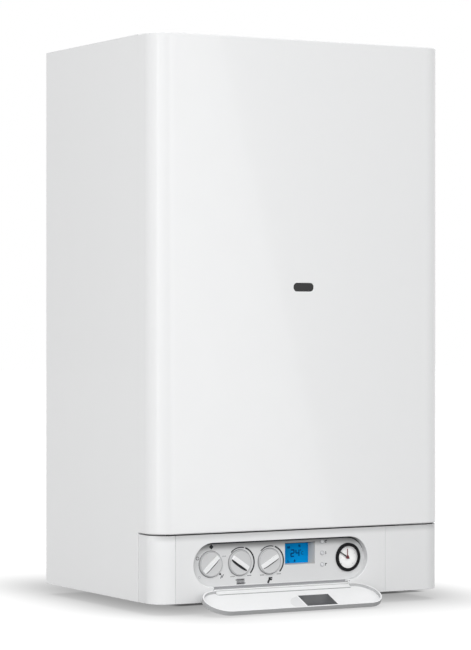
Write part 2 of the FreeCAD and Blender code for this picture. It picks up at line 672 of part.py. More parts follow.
def pocket(owner, drawing, length, reverse=False):
    """A cut from the sketch: down, to the wall or to the left, or the other way where reversed."""
    feature = owner.newObject("PartDesign::Pocket", owner.Name + "Pocket")
    before = owner.Shape.Volume
    feature.Profile = drawing
    feature.Reversed = reverse
    tie(feature, "Length", length)
    doc.recompute()
    if owner.Shape.Volume >= before:
        raise RuntimeError(f"{feature.Name} cuts nothing")
    return feature


def revolve(owner, drawing, axis):
    feature = owner.newObject("PartDesign::Revolution", owner.Name + "Revolution")
    feature.Profile = drawing
    feature.ReferenceAxis = (origin_feature(owner, axis), [""])
    feature.Angle = 360
    return feature


def dress_edges(owner, kind, amount, chosen):
    """Rounds or bevels the edges that the chosen test picks."""
    doc.recompute()
    base = owner.Tip
    names = [f"Edge{number}" for number, edge in enumerate(base.Shape.Edges, start=1) if chosen(edge)]
    feature = owner.newObject("PartDesign::" + kind, owner.Name + kind)
    feature.Base = (base, names)
    tie(feature, {"Fillet": "Radius", "Chamfer": "Size"}[kind], amount)
    return feature


nodes = []


def node(label, thing, at=(0, 0, 0), turn=None):
    """Names a finished piece and stands it in the part's frame."""
    thing.Label = label
    if turn:
        axis, angle = turn
        thing.Placement = Placement(Vector(), Rotation(axis, 1))
        tie(thing, "Placement.Rotation.Angle", angle)
    for axis, place in zip("xyz", at):
        tie(thing, "Placement.Base." + axis, size(place) - S.hang_height if axis == "z" else place)
    nodes.append(thing)
    return thing


# Planes that many pieces share

front = -S.casing_depth
fascia = front + S.cover_proud
floor = fascia + S.recess_deep
panel_back = fascia + S.panel_deep
flange_front = front + S.cover_return + S.seam_gap
side_out = S.casing_width / 2 - S.cover_proud
side_in = side_out - S.casing_sheet
top_under = S.casing_height - S.casing_sheet
fascia_top = S.cover_bottom - S.cover_gap
frame_half = side_in - S.seat_gap
stud_across = side_out - S.stud_inset
left_joint = S.left_cheek_wide - side_out
LEFT, RIGHT = -1, 1
TOWARDS_VIEWER = Vector(0, -1, 0)


# Casing

def rear_frame():
    frame = body("RearFrame")
    plan = sketch(frame, "xy")
    inner = frame_half - S.frame_sheet
    outline(plan, [
        (-frame_half, 0, None), (-frame_half, -S.frame_flange, None), (-inner, -S.frame_flange, None),
        (-inner, -S.frame_sheet, None), (inner, -S.frame_sheet, None), (inner, -S.frame_flange, None),
        (frame_half, -S.frame_flange, None), (frame_half, 0, None),
    ])
    pad(frame, plan, top_under - S.seat_gap)
    holes = sketch(frame, "xz", -S.frame_sheet)
    for side in (LEFT, RIGHT):
        circle(holes, side * S.hang_spacing / 2, S.hang_height, S.hang_hole_radius)
    doc.recompute()
    pocket(frame, holes, S.frame_sheet + S.overcut)
    node("rear_frame", frame)


def side_panel(label, side):
    panel = body(label.title().replace("_", ""))
    plan = sketch(panel, "xy")
    turned = side_out - S.panel_flange
    outline(plan, [
        (side * side_out, 0, None), (side * side_out, flange_front, None),
        (side * turned, flange_front, None), (side * turned, flange_front + S.casing_sheet, None),
        (side * side_in, flange_front + S.casing_sheet, None), (side * side_in, 0, None),
    ])
    pad(panel, plan, top_under)
    holes = sketch(panel, "xz", flange_front)
    for level in (S.stud_low, S.stud_high):
        circle(holes, side * stud_across, level, S.stud_radius + S.stud_fit)
    doc.recompute()
    pocket(panel, holes, S.casing_sheet + S.overcut)
    node(label, panel)


def top_panel():
    half = side_out - S.panel_flange - S.seat_gap
    plate = box("TopPlate", (-side_out, side_out), (flange_front, 0), (top_under, S.casing_height))
    flange = box(
        "TopFlange", (-half, half), (flange_front, flange_front + S.casing_sheet),
        (top_under - S.top_flange, S.casing_height),
    )
    hole_radius = S.flue_radius + S.collar_wall + S.collar_fit
    span = (top_under - S.overcut, S.casing_height + S.overcut)
    holes = [cylinder("TopFlueHole", hole_radius, "z", (0, -S.flue_place), span)]
    for index, (across, back) in enumerate(screw_places()):
        holes.append(cylinder(f"TopScrewHole{index}", S.screw_shank_radius, "z", (across, back), span))
    node("top_panel", cut("TopPanel", join("TopSheet", plate, flange), *holes))


def screw_places():
    across = side_out - S.screw_inset
    return [(side * across, -back) for side in (LEFT, RIGHT) for back in (S.screw_front, S.screw_back)]


def casing_screws():
    screws = []
    for index, (across, back) in enumerate(screw_places()):
        head = cylinder(
            f"ScrewHead{index}", S.screw_head_radius, "z", (across, back),
            (S.casing_height, S.casing_height + S.screw_head_height),
        )
        shank = cylinder(
            f"ScrewShank{index}", S.screw_shank_radius, "z", (across, back),
            (S.casing_height - S.screw_length, S.casing_height),
        )
        screws.append(join(f"Screw{index}", head, shank))
    node("casing_screws", group("CasingScrews", *screws))


def front_cover():
    cover = body("FrontCover")
    half = S.casing_width / 2
    back = front + S.cover_return
    plan = sketch(cover, "xy", S.cover_bottom)
    outline(plan, [
        (-half, back, None), (-half, front, S.corner_radius), (half, front, S.corner_radius), (half, back, None),
    ])
    pad(cover, plan, S.casing_height - S.cover_bottom)

    def front_rim(edge):
        level = edge.BoundBox.ZLength < S.overcut.number
        return level and edge.CenterOfMass.y < back.number - S.overcut.number

    dress_edges(cover, "Fillet", S.edge_radius, front_rim)
    hollow = sketch(cover, "xy", top_under)
    inner = half - S.casing_sheet
    inner_radius = S.corner_radius - S.casing_sheet
    outline(hollow, [
        (-inner, back + S.overcut, None), (-inner, front + S.casing_sheet, inner_radius),
        (inner, front + S.casing_sheet, inner_radius), (inner, back + S.overcut, None),
    ])
    doc.recompute()
    pocket(cover, hollow, top_under - S.cover_bottom - S.casing_sheet)
    slot = sketch(cover, "xz", front)
    slot_outline(slot, size(0), S.slot_corner)
    pocket(cover, slot, S.casing_sheet + S.overcut)
    node("front_cover", cover)


def slot_outline(drawing, margin, corner):
    """The sight slot's outline, grown by a margin."""
    half = S.slot_length / 2 + margin
    low = S.slot_level - S.slot_height / 2 - margin
    high = S.slot_level + S.slot_height / 2 + margin
    outline(drawing, [(-half, low, corner), (half, low, corner), (half, high, corner), (-half, high, corner)])


def sight_window():
    pane = body("SightWindow")
    behind = front + S.casing_sheet
    rim = sketch(pane, "xz", behind + S.pane_thick)
    slot_outline(rim, S.pane_lip, S.slot_corner)
    pad(pane, rim, S.pane_thick)
    face = sketch(pane, "xz", behind + S.pane_thick)
    slot_outline(face, -S.pane_fit, S.slot_corner - S.pane_fit)
    pad(pane, face, S.pane_thick + S.casing_sheet - S.pane_fit)
    node("sight_window", pane)


def cover_studs():
    studs = []
    for side in (LEFT, RIGHT):
        for level in (S.stud_low, S.stud_high):
            studs.append(cylinder(
                f"CoverStud{len(studs)}", S.stud_radius, "y", (side * stud_across, level),
                (front + S.casing_sheet, flange_front + S.casing_sheet + S.stud_tail),
            ))
    node("cover_studs", group("CoverStuds", *studs))


def cheek(label, side, joint):
    """A moulded corner piece beside the control panel."""
    piece = body(label.title().replace("_", ""))
    outer_radius = S.corner_radius - S.cover_proud
    inner_radius = outer_radius - S.cheek_wall
    outer, inner = side * side_out, side * (side_out - S.cheek_wall)
    back = front + S.cover_return
    plan = sketch(piece, "xy")
    outline(plan, [
        (outer, back, None), (outer, fascia, outer_radius), (joint, fascia, None),
        (joint, fascia + S.cheek_wall, None), (inner, fascia + S.cheek_wall, inner_radius), (inner, back, None),
    ])
    pad(piece, plan, fascia_top)
    node(label, piece)


# Control panel

module_left = left_joint + S.module_joint / 2
module_right = S.module_right - S.module_joint / 2
leaf_left = S.recess_left + S.leaf_end
leaf_right = S.recess_right - S.leaf_end
hinge_y = fascia + S.hinge_inset
KNOB_PLACES = (S.knob_one, S.knob_two, S.knob_three)


def button_levels():
    return [S.button_top - S.button_pitch * step for step in range(3)]


def control_panel():
    panel = body("ControlPanel")
    face = sketch(panel, "xz", panel_back)
    rectangle(face, (module_left, module_right), (0, fascia_top))
    pad(panel, face, S.panel_deep)
    hollow = sketch(panel, "xz", panel_back)
    wall = S.panel_wall
    rectangle(hollow, (module_left + wall, module_right - wall), (wall, fascia_top - wall))
    stadium(hollow, S.recess_left, S.recess_right, S.recess_level, S.recess_radius + S.recess_wall)
    doc.recompute()
    pocket(panel, hollow, S.panel_deep - wall, reverse=True)
    block = sketch(panel, "xz", panel_back)
    slot_left, slot_right = leaf_left - S.hinge_end_gap, leaf_right + S.hinge_end_gap
    ear = S.hinge_pin_end + S.hinge_block
    rectangle(
        block, (slot_left - ear, slot_right + ear),
        (S.hinge_slot_low - S.hinge_block, S.recess_level - S.recess_radius + S.recess_wall),
    )
    pad(panel, block, S.panel_deep)
    recess = sketch(panel, "xz", fascia)
    stadium(recess, S.recess_left, S.recess_right, S.recess_level, S.recess_radius)
    doc.recompute()
    pocket(panel, recess, S.recess_deep)

    def recess_lip(edge):
        span = edge.BoundBox
        on_face = abs(span.YMin - fascia.number) + abs(span.YMax - fascia.number) < S.overcut.number
        return on_face and span.XMin > module_left.number + ear.number and span.XMax < module_right.number - ear.number

    dress_edges(panel, "Chamfer", S.recess_bevel, recess_lip)
    doc.recompute()
    slot = sketch(panel, "xz", fascia)
    rectangle(slot, (slot_left, slot_right), (S.hinge_slot_low, S.recess_level - S.recess_radius / 2))
    pocket(panel, slot, S.hinge_slot_deep)
    pin_hole = sketch(panel, "yz", slot_right + S.hinge_pin_end)
    circle(pin_hole, hinge_y, S.hinge_level, S.hinge_pin_radius)
    pocket(panel, pin_hole, slot_right - slot_left + 2 * S.hinge_pin_end)
    well = sketch(panel, "xz", floor + S.display_well)
    rectangle(
        well, (S.display_left - S.well_wall, S.display_right + S.well_wall),
        (S.display_low - S.well_wall, S.display_high + S.well_wall),
    )
    pad(panel, well, S.display_well)
    openings = sketch(panel, "xz", floor)
    rectangle(openings, (S.display_left, S.display_right), (S.display_low, S.display_high))
    circle(openings, S.gauge_place, S.dial_level, S.gauge_case_radius + S.gauge_case_fit)
    for place in KNOB_PLACES:
        circle(openings, place, S.dial_level, S.spindle_hole)
    for level in button_levels():
        circle(openings, S.button_place, level, S.button_radius + S.button_fit)
    doc.recompute()
    pocket(panel, openings, S.display_well + S.overcut)
    node("control_panel", panel)


def display_screen():
    lip = S.screen_lip
    back = floor + S.display_well + S.seat_gap
    screen = box(
        "ScreenBlock", (S.display_left - lip, S.display_right + lip), (back, back + S.screen_thick),
        (S.display_low - lip, S.display_high + lip),
    )
    node("display_screen", group("DisplayScreen", screen))


def knob(label, place, angle):
    """A low disc with a grip bar across it, on a spindle. Its own X axis is the way it points."""
    piece = body(label.title().replace("_", ""))
    profile = sketch(piece, "xy")
    polygon(profile, [
        (0, S.spindle_reach), (0, -S.knob_disc), (S.knob_radius - S.knob_bevel, -S.knob_disc),
        (S.knob_radius, S.knob_bevel - S.knob_disc), (S.knob_radius, -S.knob_lift),
        (S.spindle_radius, -S.knob_lift), (S.spindle_radius, S.spindle_reach),
    ])
    revolve(piece, profile, "Y_Axis")
    bar = sketch(piece, "xy", -S.grip_width / 2)
    reach = S.grip_length / 2
    polygon(bar, [
        (-reach, S.knob_bevel - S.knob_disc), (reach, S.knob_bevel - S.knob_disc), (reach, -S.knob_disc),
        (reach - S.grip_point, -S.grip_top), (S.grip_tail - reach, -S.grip_top), (-reach, -S.knob_disc),
    ])
    pad(piece, bar, S.grip_width)
    node(label, piece, (place, floor, S.dial_level), (TOWARDS_VIEWER, angle))


def knob_encoders():
    board_front = panel_back + S.board_inset
    encoders = []
    for index, place in enumerate(KNOB_PLACES):
        centre = (place, S.dial_level)
        case = cylinder(
            f"EncoderCase{index}", S.encoder_radius, "y", centre,
            (panel_back + S.seat_gap, board_front - S.seat_gap),
        )
        bore = cylinder(
            f"EncoderBore{index}", S.spindle_radius + S.spindle_fit, "y", centre,
            (panel_back, floor + S.spindle_reach + S.overcut),
        )
        encoders.append(cut(f"Encoder{index}", case, bore))
    node("knob_encoders", group("KnobEncoders", *encoders))


def button(label, level):
    piece = body(label.title().replace("_", ""))
    profile = sketch(piece, "xy")
    behind = panel_back - floor + S.seat_gap
    polygon(profile, [
        (0, S.button_reach), (0, -S.button_proud), (S.button_radius - S.button_dome, -S.button_proud),
        (S.button_radius, S.button_dome - S.button_proud), (S.button_radius, behind),
        (S.button_collar, behind), (S.button_collar, behind + S.button_collar_thick),
        (S.button_stem, behind + S.button_collar_thick), (S.button_stem, S.button_reach),
    ])
    revolve(piece, profile, "Y_Axis")
    node(label, piece, (S.button_place, floor, level))


def gauge():
    place = (S.gauge_place, floor, S.dial_level)
    bore = S.arbor_radius + S.spindle_fit
    case = body("GaugeCase")
    profile = sketch(case, "xy")
    cavity = S.dial_radius + S.lens_fit
    polygon(profile, [
        (0, S.gauge_case_deep), (0, S.arbor_reach + S.overcut), (bore, S.arbor_reach + S.overcut),
        (bore, S.dial_deep), (cavity, S.dial_deep), (cavity, 0),
        (S.gauge_case_radius, 0), (S.gauge_case_radius, S.gauge_case_deep),
    ])
    revolve(case, profile, "Y_Axis")
    node("gauge_case", case, place)

    dial = body("GaugeDial")
    profile = sketch(dial, "xy")
    rectangle(profile, (bore, S.dial_radius), (S.dial_deep - S.dial_thick, S.dial_deep))
    revolve(dial, profile, "Y_Axis")
    node("gauge_dial", dial, place)

    bezel = body("GaugeBezel")
    profile = sketch(bezel, "xy")
    rebate = S.lens_radius + S.lens_fit
    polygon(profile, [
        (S.gauge_inner, -S.gauge_proud), (S.gauge_inner, -S.lens_front), (rebate, -S.lens_front), (rebate, 0),
        (S.gauge_outer, 0), (S.gauge_outer, S.gauge_bevel - S.gauge_proud),
        (S.gauge_outer - S.gauge_bevel, -S.gauge_proud),
    ])
    revolve(bezel, profile, "Y_Axis")
    node("gauge_bezel", bezel, place)

    lens = body("GaugeLens")
    profile = sketch(lens, "xy")
    rectangle(profile, (0, S.lens_radius), (-S.lens_front, -S.lens_back))
    revolve(lens, profile, "Y_Axis")
    node("gauge_lens", lens, place)

    needle = body("GaugeNeedle")
    profile = sketch(needle, "xy")
    hub_back = S.needle_plane + S.hand_thick
    polygon(profile, [
        (0, S.set_plane), (S.arbor_radius, S.set_plane), (S.arbor_radius, S.needle_plane),
        (S.needle_hub, S.needle_plane), (S.needle_hub, hub_back), (S.arbor_radius, hub_back),
        (S.arbor_radius, S.arbor_reach), (0, S.arbor_reach),
    ])
    revolve(needle, profile, "Y_Axis")
    hand = sketch(needle, "xz", S.needle_plane + S.hand_thick)
    half = S.needle_width / 2
    polygon(hand, [
        (-S.needle_tail, -half), (0, -half), (S.needle_length, -half / 4),
        (S.needle_length, half / 4), (0, half), (-S.needle_tail, half),
    ])
    pad(needle, hand, S.hand_thick)
    node("gauge_needle", needle, place, (TOWARDS_VIEWER, S.needle_angle))

    set_hand = body("GaugeSetHand")
    plate = sketch(set_hand, "xz", S.set_plane + S.hand_thick)
    circle(plate, 0, 0, S.set_hub)
    pad(set_hand, plate, S.hand_thick)
    hand = sketch(set_hand, "xz", S.set_plane + S.hand_thick)
    rectangle(hand, (0, S.set_length), (-S.set_width / 2, S.set_width / 2))
    pad(set_hand, hand, S.hand_thick)
    hole = sketch(set_hand, "xz", S.set_plane)
    circle(hole, 0, 0, bore)
    doc.recompute()
    pocket(set_hand, hole, S.hand_thick)
    node("gauge_set_hand", set_hand, place, (TOWARDS_VIEWER, S.set_angle))


# Flap, drawn shut with its hinge axis as its own X axis, then swung open

flap_place = (0, hinge_y, S.hinge_level)
flap_turn = (Vector(1, 0, 0), S.flap_open)
flap_outer = -S.hinge_inset
flap_plate = flap_outer + S.flap_floor
flap_inner = flap_outer + S.flap_thick
flap_middle = S.recess_level - S.hinge_level
flap_radius = S.recess_radius - S.flap_fit
boss_top = flap_plate + S.boss_height
window_low = S.display_low - S.hinge_level
window_high = S.display_high - S.hinge_level


def flap():
    lid = body("Flap")
    shape = sketch(lid, "xz", flap_inner)
    stadium(shape, S.recess_left, S.recess_right, flap_middle, flap_radius)
    pad(lid, shape, S.flap_thick)
    dish = sketch(lid, "xz", flap_inner)
    stadium(dish, S.recess_left, S.recess_right, flap_middle, flap_radius - S.flap_rim)
    doc.recompute()
    pocket(lid, dish, S.flap_thick - S.flap_floor, reverse=True)
    sill = sketch(lid, "xz", flap_inner)
    near = flap_middle - flap_radius
    rectangle(sill, (leaf_left, leaf_right), (near - S.overcut, near + 2 * S.flap_rim))
    pocket(lid, sill, S.flap_thick - S.flap_floor, reverse=True)
    leaf = sketch(lid, "xz", flap_plate + S.leaf_rise)
    rectangle(leaf, (leaf_left, leaf_right), (0, S.leaf_reach))
    pad(lid, leaf, S.flap_floor + S.leaf_rise)
    knuckle = sketch(lid, "yz", leaf_left)
    circle(knuckle, 0, 0, S.knuckle_radius)
    pad(lid, knuckle, leaf_right - leaf_left)
    boss = sketch(lid, "xy", window_low - S.boss_frame)
    polygon(boss, [
        (S.display_left - S.boss_frame - S.boss_ramp, flap_plate), (S.display_left - S.boss_frame, boss_top),
        (S.display_right + S.boss_frame, boss_top), (S.display_right + S.boss_frame + S.boss_ramp, flap_plate),
    ])
    pad(lid, boss, window_high - window_low + 2 * S.boss_frame)
    rebate = sketch(lid, "xz", boss_top)
    rectangle(rebate, (S.display_left, S.display_right), (window_low, window_high))
    doc.recompute()
    pocket(lid, rebate, S.window_thick, reverse=True)
    ledge = S.window_lip
    opening = sketch(lid, "xz", boss_top)
    rectangle(
        opening, (S.display_left + ledge, S.display_right - ledge), (window_low + ledge, window_high - ledge),
    )
    pocket(lid, opening, S.flap_thick, reverse=True)
    bore = sketch(lid, "yz", leaf_right)
    circle(bore, 0, 0, S.hinge_pin_radius + S.hinge_pin_fit)
    pocket(lid, bore, leaf_right - leaf_left)
    node("flap", lid, flap_place, flap_turn)


def flap_window():
    pane = body("FlapWindow")
    face = sketch(pane, "xz", boss_top)
    fit = S.window_fit
    rectangle(face, (S.display_left + fit, S.display_right - fit), (window_low + fit, window_high - fit))
    pad(pane, face, S.window_thick)
    node("flap_window", pane, flap_place, flap_turn)


def flap_hinge_pin():
    reach = S.hinge_end_gap + S.hinge_pin_end
    pin = cylinder(
        "HingePin", S.hinge_pin_radius, "x", (hinge_y, S.hinge_level), (leaf_left - reach, leaf_right + reach),
    )
    node("flap_hinge_pin", group("FlapHingePin", pin))


# Control box behind the panel

box_back = -S.bracket_depth - S.seat_gap
box_left = S.panel_flange + S.box_side - side_out


def control_box():
    margin, wall = S.box_margin, S.box_wall
    x = (box_left, module_right - margin)
    z = (margin, fascia_top - margin)
    mouth = panel_back + S.seat_gap
    shell = box("BoxShell", x, (mouth, box_back), z)
    hollow = box(
        "BoxHollow", (x[0] + wall, x[1] - wall), (mouth - S.overcut, box_back - wall),
        (z[0] + wall, z[1] - wall),
    )
    place = (S.gland_place, (mouth + box_back) / 2)
    gland = cylinder("BoxGland", S.gland_radius, "z", place, (margin - S.gland_drop, margin + wall))
    bore = cylinder("BoxGlandBore", S.gland_bore, "z", place, (-S.overcut, margin + wall + S.overcut))
    tub = cut("BoxTub", shell, hollow)
    node("control_box", cut("ControlBox", join("BoxWithGland", tub, gland), bore))


def control_board():
    low, high = S.box_margin + S.box_wall + S.seat_gap, fascia_top - S.box_margin - S.box_wall - S.seat_gap
    left = box_left + S.box_wall + S.seat_gap
    face = panel_back + S.board_inset
    back = face + S.board_thick
    plate = box("BoardPlate", (left, S.board_right), (face, back), (low, high))
    middle = (left + S.board_right) / 2
    half = S.transformer_wide / 2
    space = box_back - S.box_wall - back
    transformer = box(
        "BoardTransformer", (middle - half, middle + half), (face, back + space * S.transformer_share),
        (low + S.box_margin, low + S.box_margin + S.transformer_tall),
    )
    relays = []
    for index in range(int(S.relay_count.number)):
        start = left + S.transformer_tall * index / 2 + S.box_margin
        relays.append(box(
            f"BoardRelay{index}", (start, start + S.transformer_tall / 3),
            (face, back + space * S.relay_share), (high - S.transformer_tall / 2, high - S.box_margin),
        ))
    switches = [
        cylinder(
            f"BoardSwitch{index}", S.switch_radius, "y", (S.button_place, level),
            (floor + S.button_reach + S.button_travel, back),
        )
        for index, level in enumerate(button_levels())
    ]
    node("control_board", join("ControlBoard", plate, transformer, *relays, *switches))


# Combustion

hearth = (-S.hearth_half, S.hearth_half)
hearth_y = (-S.hearth_front, -S.hearth_back)


def inside(span, wall):
    return (span[0] + wall, span[1] - wall)


def combustion_chamber():
    wall = S.hearth_sheet
    shell = box("ChamberShell", hearth, hearth_y, (S.chamber_low, S.exchanger_low - S.seat_gap))
    hollow = box(
        "ChamberHollow", inside(hearth, wall), (-S.hearth_front - S.overcut, -S.hearth_back - wall),
        (S.chamber_low - S.overcut, S.exchanger_low + S.overcut),
    )
    reach = side_in - S.seat_gap
    level = (S.chamber_low - S.arm_thick, S.chamber_low)
    rear_arm = box("ChamberRearArm", (-reach, reach), (-S.hearth_back - S.arm_width, -S.hearth_back), level)
    front_arm = box("ChamberFrontArm", (-reach, reach), (-S.hearth_front, S.arm_width - S.hearth_front), level)
    chamber = join("CombustionChamber", cut("ChamberWalls", shell, hollow), rear_arm, front_arm)
    node("combustion_chamber", chamber)


electrode_places = (S.electrode_one, S.electrode_two, S.electrode_three)
plate_out = -S.hearth_front - S.seat_gap - S.hearth_sheet


def chamber_front():
    plate = box(
        "FrontPlate", hearth, (plate_out, plate_out + S.hearth_sheet),
        (S.chamber_low, S.exchanger_low - S.seat_gap),
    )
    sight = (0, S.slot_level)
    ring = cylinder("SightRing", S.sight_ring, "y", sight, (plate_out - S.sight_ring_deep, plate_out))
    through = (plate_out - S.sight_ring_deep - S.overcut, -S.hearth_front + S.overcut)
    holes = [cylinder("SightHole", S.sight_radius, "y", sight, through)]
    for index, place in enumerate(electrode_places):
        radius = S.electrode_radius + S.electrode_fit
        holes.append(cylinder(f"ElectrodeHole{index}", radius, "y", (place, S.electrode_level), through))
    node("chamber_front", cut("ChamberFront", join("FrontWithRing", plate, ring), *holes))


def sight_glass():
    seat = plate_out - S.sight_ring_deep
    glass = cylinder("Glass", S.glass_radius, "y", (0, S.slot_level), (seat - S.glass_thick, seat))
    node("sight_glass", group("SightGlass", glass))


def electrodes():
    pieces = []
    for index, place in enumerate(electrode_places):
        centre = (place, S.electrode_level)
        inner = plate_out + S.electrode_inside
        ceramic = cylinder(
            f"Ceramic{index}", S.electrode_radius, "y", centre, (plate_out - S.electrode_outside, inner),
        )
        wire = cylinder(f"ElectrodeWire{index}", S.wire_radius, "y", centre, (inner, inner + S.wire_length))
        pieces.append(join(f"Electrode{index}", ceramic, wire))
    node("electrodes", group("Electrodes", *pieces))


def heat_exchanger():
    wall = S.hearth_sheet
    z = (S.exchanger_low, S.exchanger_high)
    shell = box("ExchangerShell", hearth, hearth_y, z)
    low, high = S.exchanger_low - S.overcut, S.exchanger_high + S.overcut
    hollow = box("ExchangerHollow", inside(hearth, wall), inside(hearth_y, wall), (low, high))
    pieces = [cut("ExchangerFrame", shell, hollow)]
    first = S.fin_margin - S.hearth_half
    pitch = (-2 * first - S.fin_thick) / (S.fin_count - 1)
    fin_low, fin_high = S.tube_level - 2 * S.tube_radius, S.tube_level + 2 * S.tube_radius
    for index in range(int(S.fin_count.number)):
        start = first + pitch * index
        pieces.append(box(f"Fin{index}", (start, start + S.fin_thick), inside(hearth_y, wall / 2), (fin_low, fin_high)))
    count = int(S.tube_count.number)
    for index in range(count):
        place = S.tube_pitch * index - S.tube_first
        left = S.tube_end if index == 0 else S.hearth_half
        right = S.tube_end if index == count - 1 else S.hearth_half
        pieces.append(cylinder(f"ExchangerTube{index}", S.tube_radius, "x", (place, S.tube_level), (-left, right)))
        if index == count - 1:
            continue
        side = RIGHT if index % 2 == 0 else LEFT
        pieces.append(return_bend(f"ReturnBend{index}", side, place + S.tube_pitch / 2))
    node("heat_exchanger", join("HeatExchanger", *pieces))


def return_bend(name, side, place):
    """A half ring that joins two neighbouring tubes outside the end plate."""
    bend = doc.addObject("Part::Torus", name)
    tie(bend, "Radius1", S.tube_pitch / 2)
    tie(bend, "Radius2", S.tube_radius)
    bend.Angle3 = 180
    bend.Placement = Placement(Vector(), Rotation(Vector(0, 0, 1), -90 * side))
    tie(bend, "Placement.Base.x", side * S.hearth_half)
    tie(bend, "Placement.Base.y", place)
    tie(bend, "Placement.Base.z", S.tube_level)
    return bend


def draught_hood():
    wall = S.hearth_sheet
    low = S.exchanger_high + S.seat_gap
    shell = box("HoodShell", hearth, hearth_y, (low, S.hood_high))
    hollow = box("HoodHollow", inside(hearth, wall), inside(hearth_y, wall), (low - S.overcut, S.hood_high - wall))
    hole = cylinder(
        "HoodFlueHole", S.flue_radius + S.collar_wall + S.seat_gap, "z", (0, -S.flue_place),
        (S.hood_high - 2 * wall, S.hood_high + S.overcut),
    )
    opening = box(
        "HoodOpening", (-S.vent_half, S.vent_half), (-S.hearth_back - 2 * wall, S.overcut - S.hearth_back),
        (S.vent_low, S.vent_high),
    )
    node("draught_hood", cut("DraughtHood", shell, hollow, hole, opening))


def flue_collar():
    collar = body("FlueCollar")
    profile = sketch(collar, "xz")
    inner, outer = S.flue_radius, S.flue_radius + S.collar_wall
    seat = S.hood_high
    polygon(profile, [
        (inner, S.collar_low), (outer, S.collar_low), (outer, seat), (S.collar_flange, seat),
        (S.collar_flange, seat + S.collar_wall), (outer, seat + S.collar_wall), (outer, S.collar_high),
        (inner, S.collar_high),
    ])
    revolve(collar, profile, "Z_Axis")
    node("flue_collar", collar, (0, -S.flue_place, 0))


burner_high = S.chamber_low - S.arm_thick - S.seat_gap
blade_y = (S.frame_sheet + S.seat_gap - S.burner_front, -S.burner_back - S.frame_sheet - S.seat_gap)


def blade_places():
    count = int(S.blade_count.number)
    return [S.blade_pitch * (index - (count - 1) / 2) for index in range(count)]


def burner_blades():
    blades = []
    half = S.blade_width / 2
    crown_level = burner_high - S.blade_top - half
    for index, place in enumerate(blade_places()):
        web = box(f"BladeWeb{index}", (place - half, place + half), blade_y, (S.blade_low, crown_level))
        crown = cylinder(f"BladeCrown{index}", half, "y", (place, crown_level), blade_y)
        blades.append(join(f"Blade{index}", web, crown))
    node("burner_blades", group("BurnerBlades", *blades))


def burner_frame():
    wall = S.frame_sheet
    x = (-S.burner_half, S.burner_half)
    y = (-S.burner_front, -S.burner_back)
    shell = box("BurnerShell", x, y, (S.burner_low, burner_high))
    hollow = box("BurnerHollow", inside(x, wall), inside(y, wall), (S.burner_low - S.overcut, burner_high + S.overcut))
    slot = box(
        "BurnerSlot", (-S.burner_slot_half, S.burner_slot_half),
        (-S.burner_front - S.overcut, 2 * wall - S.burner_front), (S.burner_slot_low, S.burner_slot_high),
    )
    node("burner_frame", cut("BurnerFrame", shell, hollow, slot))


manifold_y = -S.burner_front - S.manifold_ahead


def gas_manifold():
    centre = (manifold_y, S.manifold_level)
    half = S.manifold_half
    pieces = [cylinder("ManifoldTube", S.manifold_radius, "x", centre, (-half, half))]
    pieces.append(cylinder(
        "ManifoldInlet", S.inlet_radius, "z", (0, manifold_y),
        (S.manifold_level - S.inlet_drop, S.manifold_level),
    ))
    for index, place in enumerate(blade_places()):
        pieces.append(cylinder(
            f"Nozzle{index}", S.nozzle_radius, "y", (place, S.manifold_level),
            (manifold_y, S.nozzle_reach + manifold_y),
        ))
    for side in (LEFT, RIGHT):
        middle = side * (S.burner_slot_half + S.burner_half) / 2
        pieces.append(box(
            f"ManifoldLug{side + 1}", (middle - S.lug_width / 2, middle + S.lug_width / 2),
            (manifold_y, -S.burner_front - S.seat_gap),
            (S.manifold_level - S.lug_height / 2, S.manifold_level + S.lug_height / 2),
        ))
    node("gas_manifold", join("GasManifold", *pieces))


# Gas

def gas_valve():
    block = box(
        "ValveBlock", (-S.valve_half, S.valve_half), (-S.valve_front, -S.valve_back), (S.valve_low, S.valve_high),
    )
    bosses = cylinder(
        "ValveBosses", S.valve_boss_radius, "z", (0, -S.stub_row),
        (S.valve_low - S.valve_boss, S.valve_high + S.valve_boss),
    )
    node("gas_valve", join("GasValve", block, bosses))


def gas_valve_coils():
    face = -S.valve_front
    pieces = [
        cylinder(
            f"Coil{side + 1}", S.coil_radius, "y", (side * S.coil_place, S.coil_level), (face - S.coil_length, face),
        )
        for side in (LEFT, RIGHT)
    ]
    pieces.append(cylinder(
        "Regulator", S.regulator_radius, "y", (0, S.regulator_level), (face - S.regulator_length, face),
    ))
    node("gas_valve_coils", group("GasValveCoils", *pieces))


def gas_pipe():
    back, ahead = -S.stub_row, manifold_y
    corners = [
        (0, back, S.valve_high + S.valve_boss), (0, back, S.gas_level), (0, ahead, S.gas_level),
        (0, ahead, S.manifold_level - S.inlet_drop),
    ]
    node("gas_pipe", pipe("GasPipe", corners, S.gas_radius, S.gas_bore, S.gas_bend))


# Water

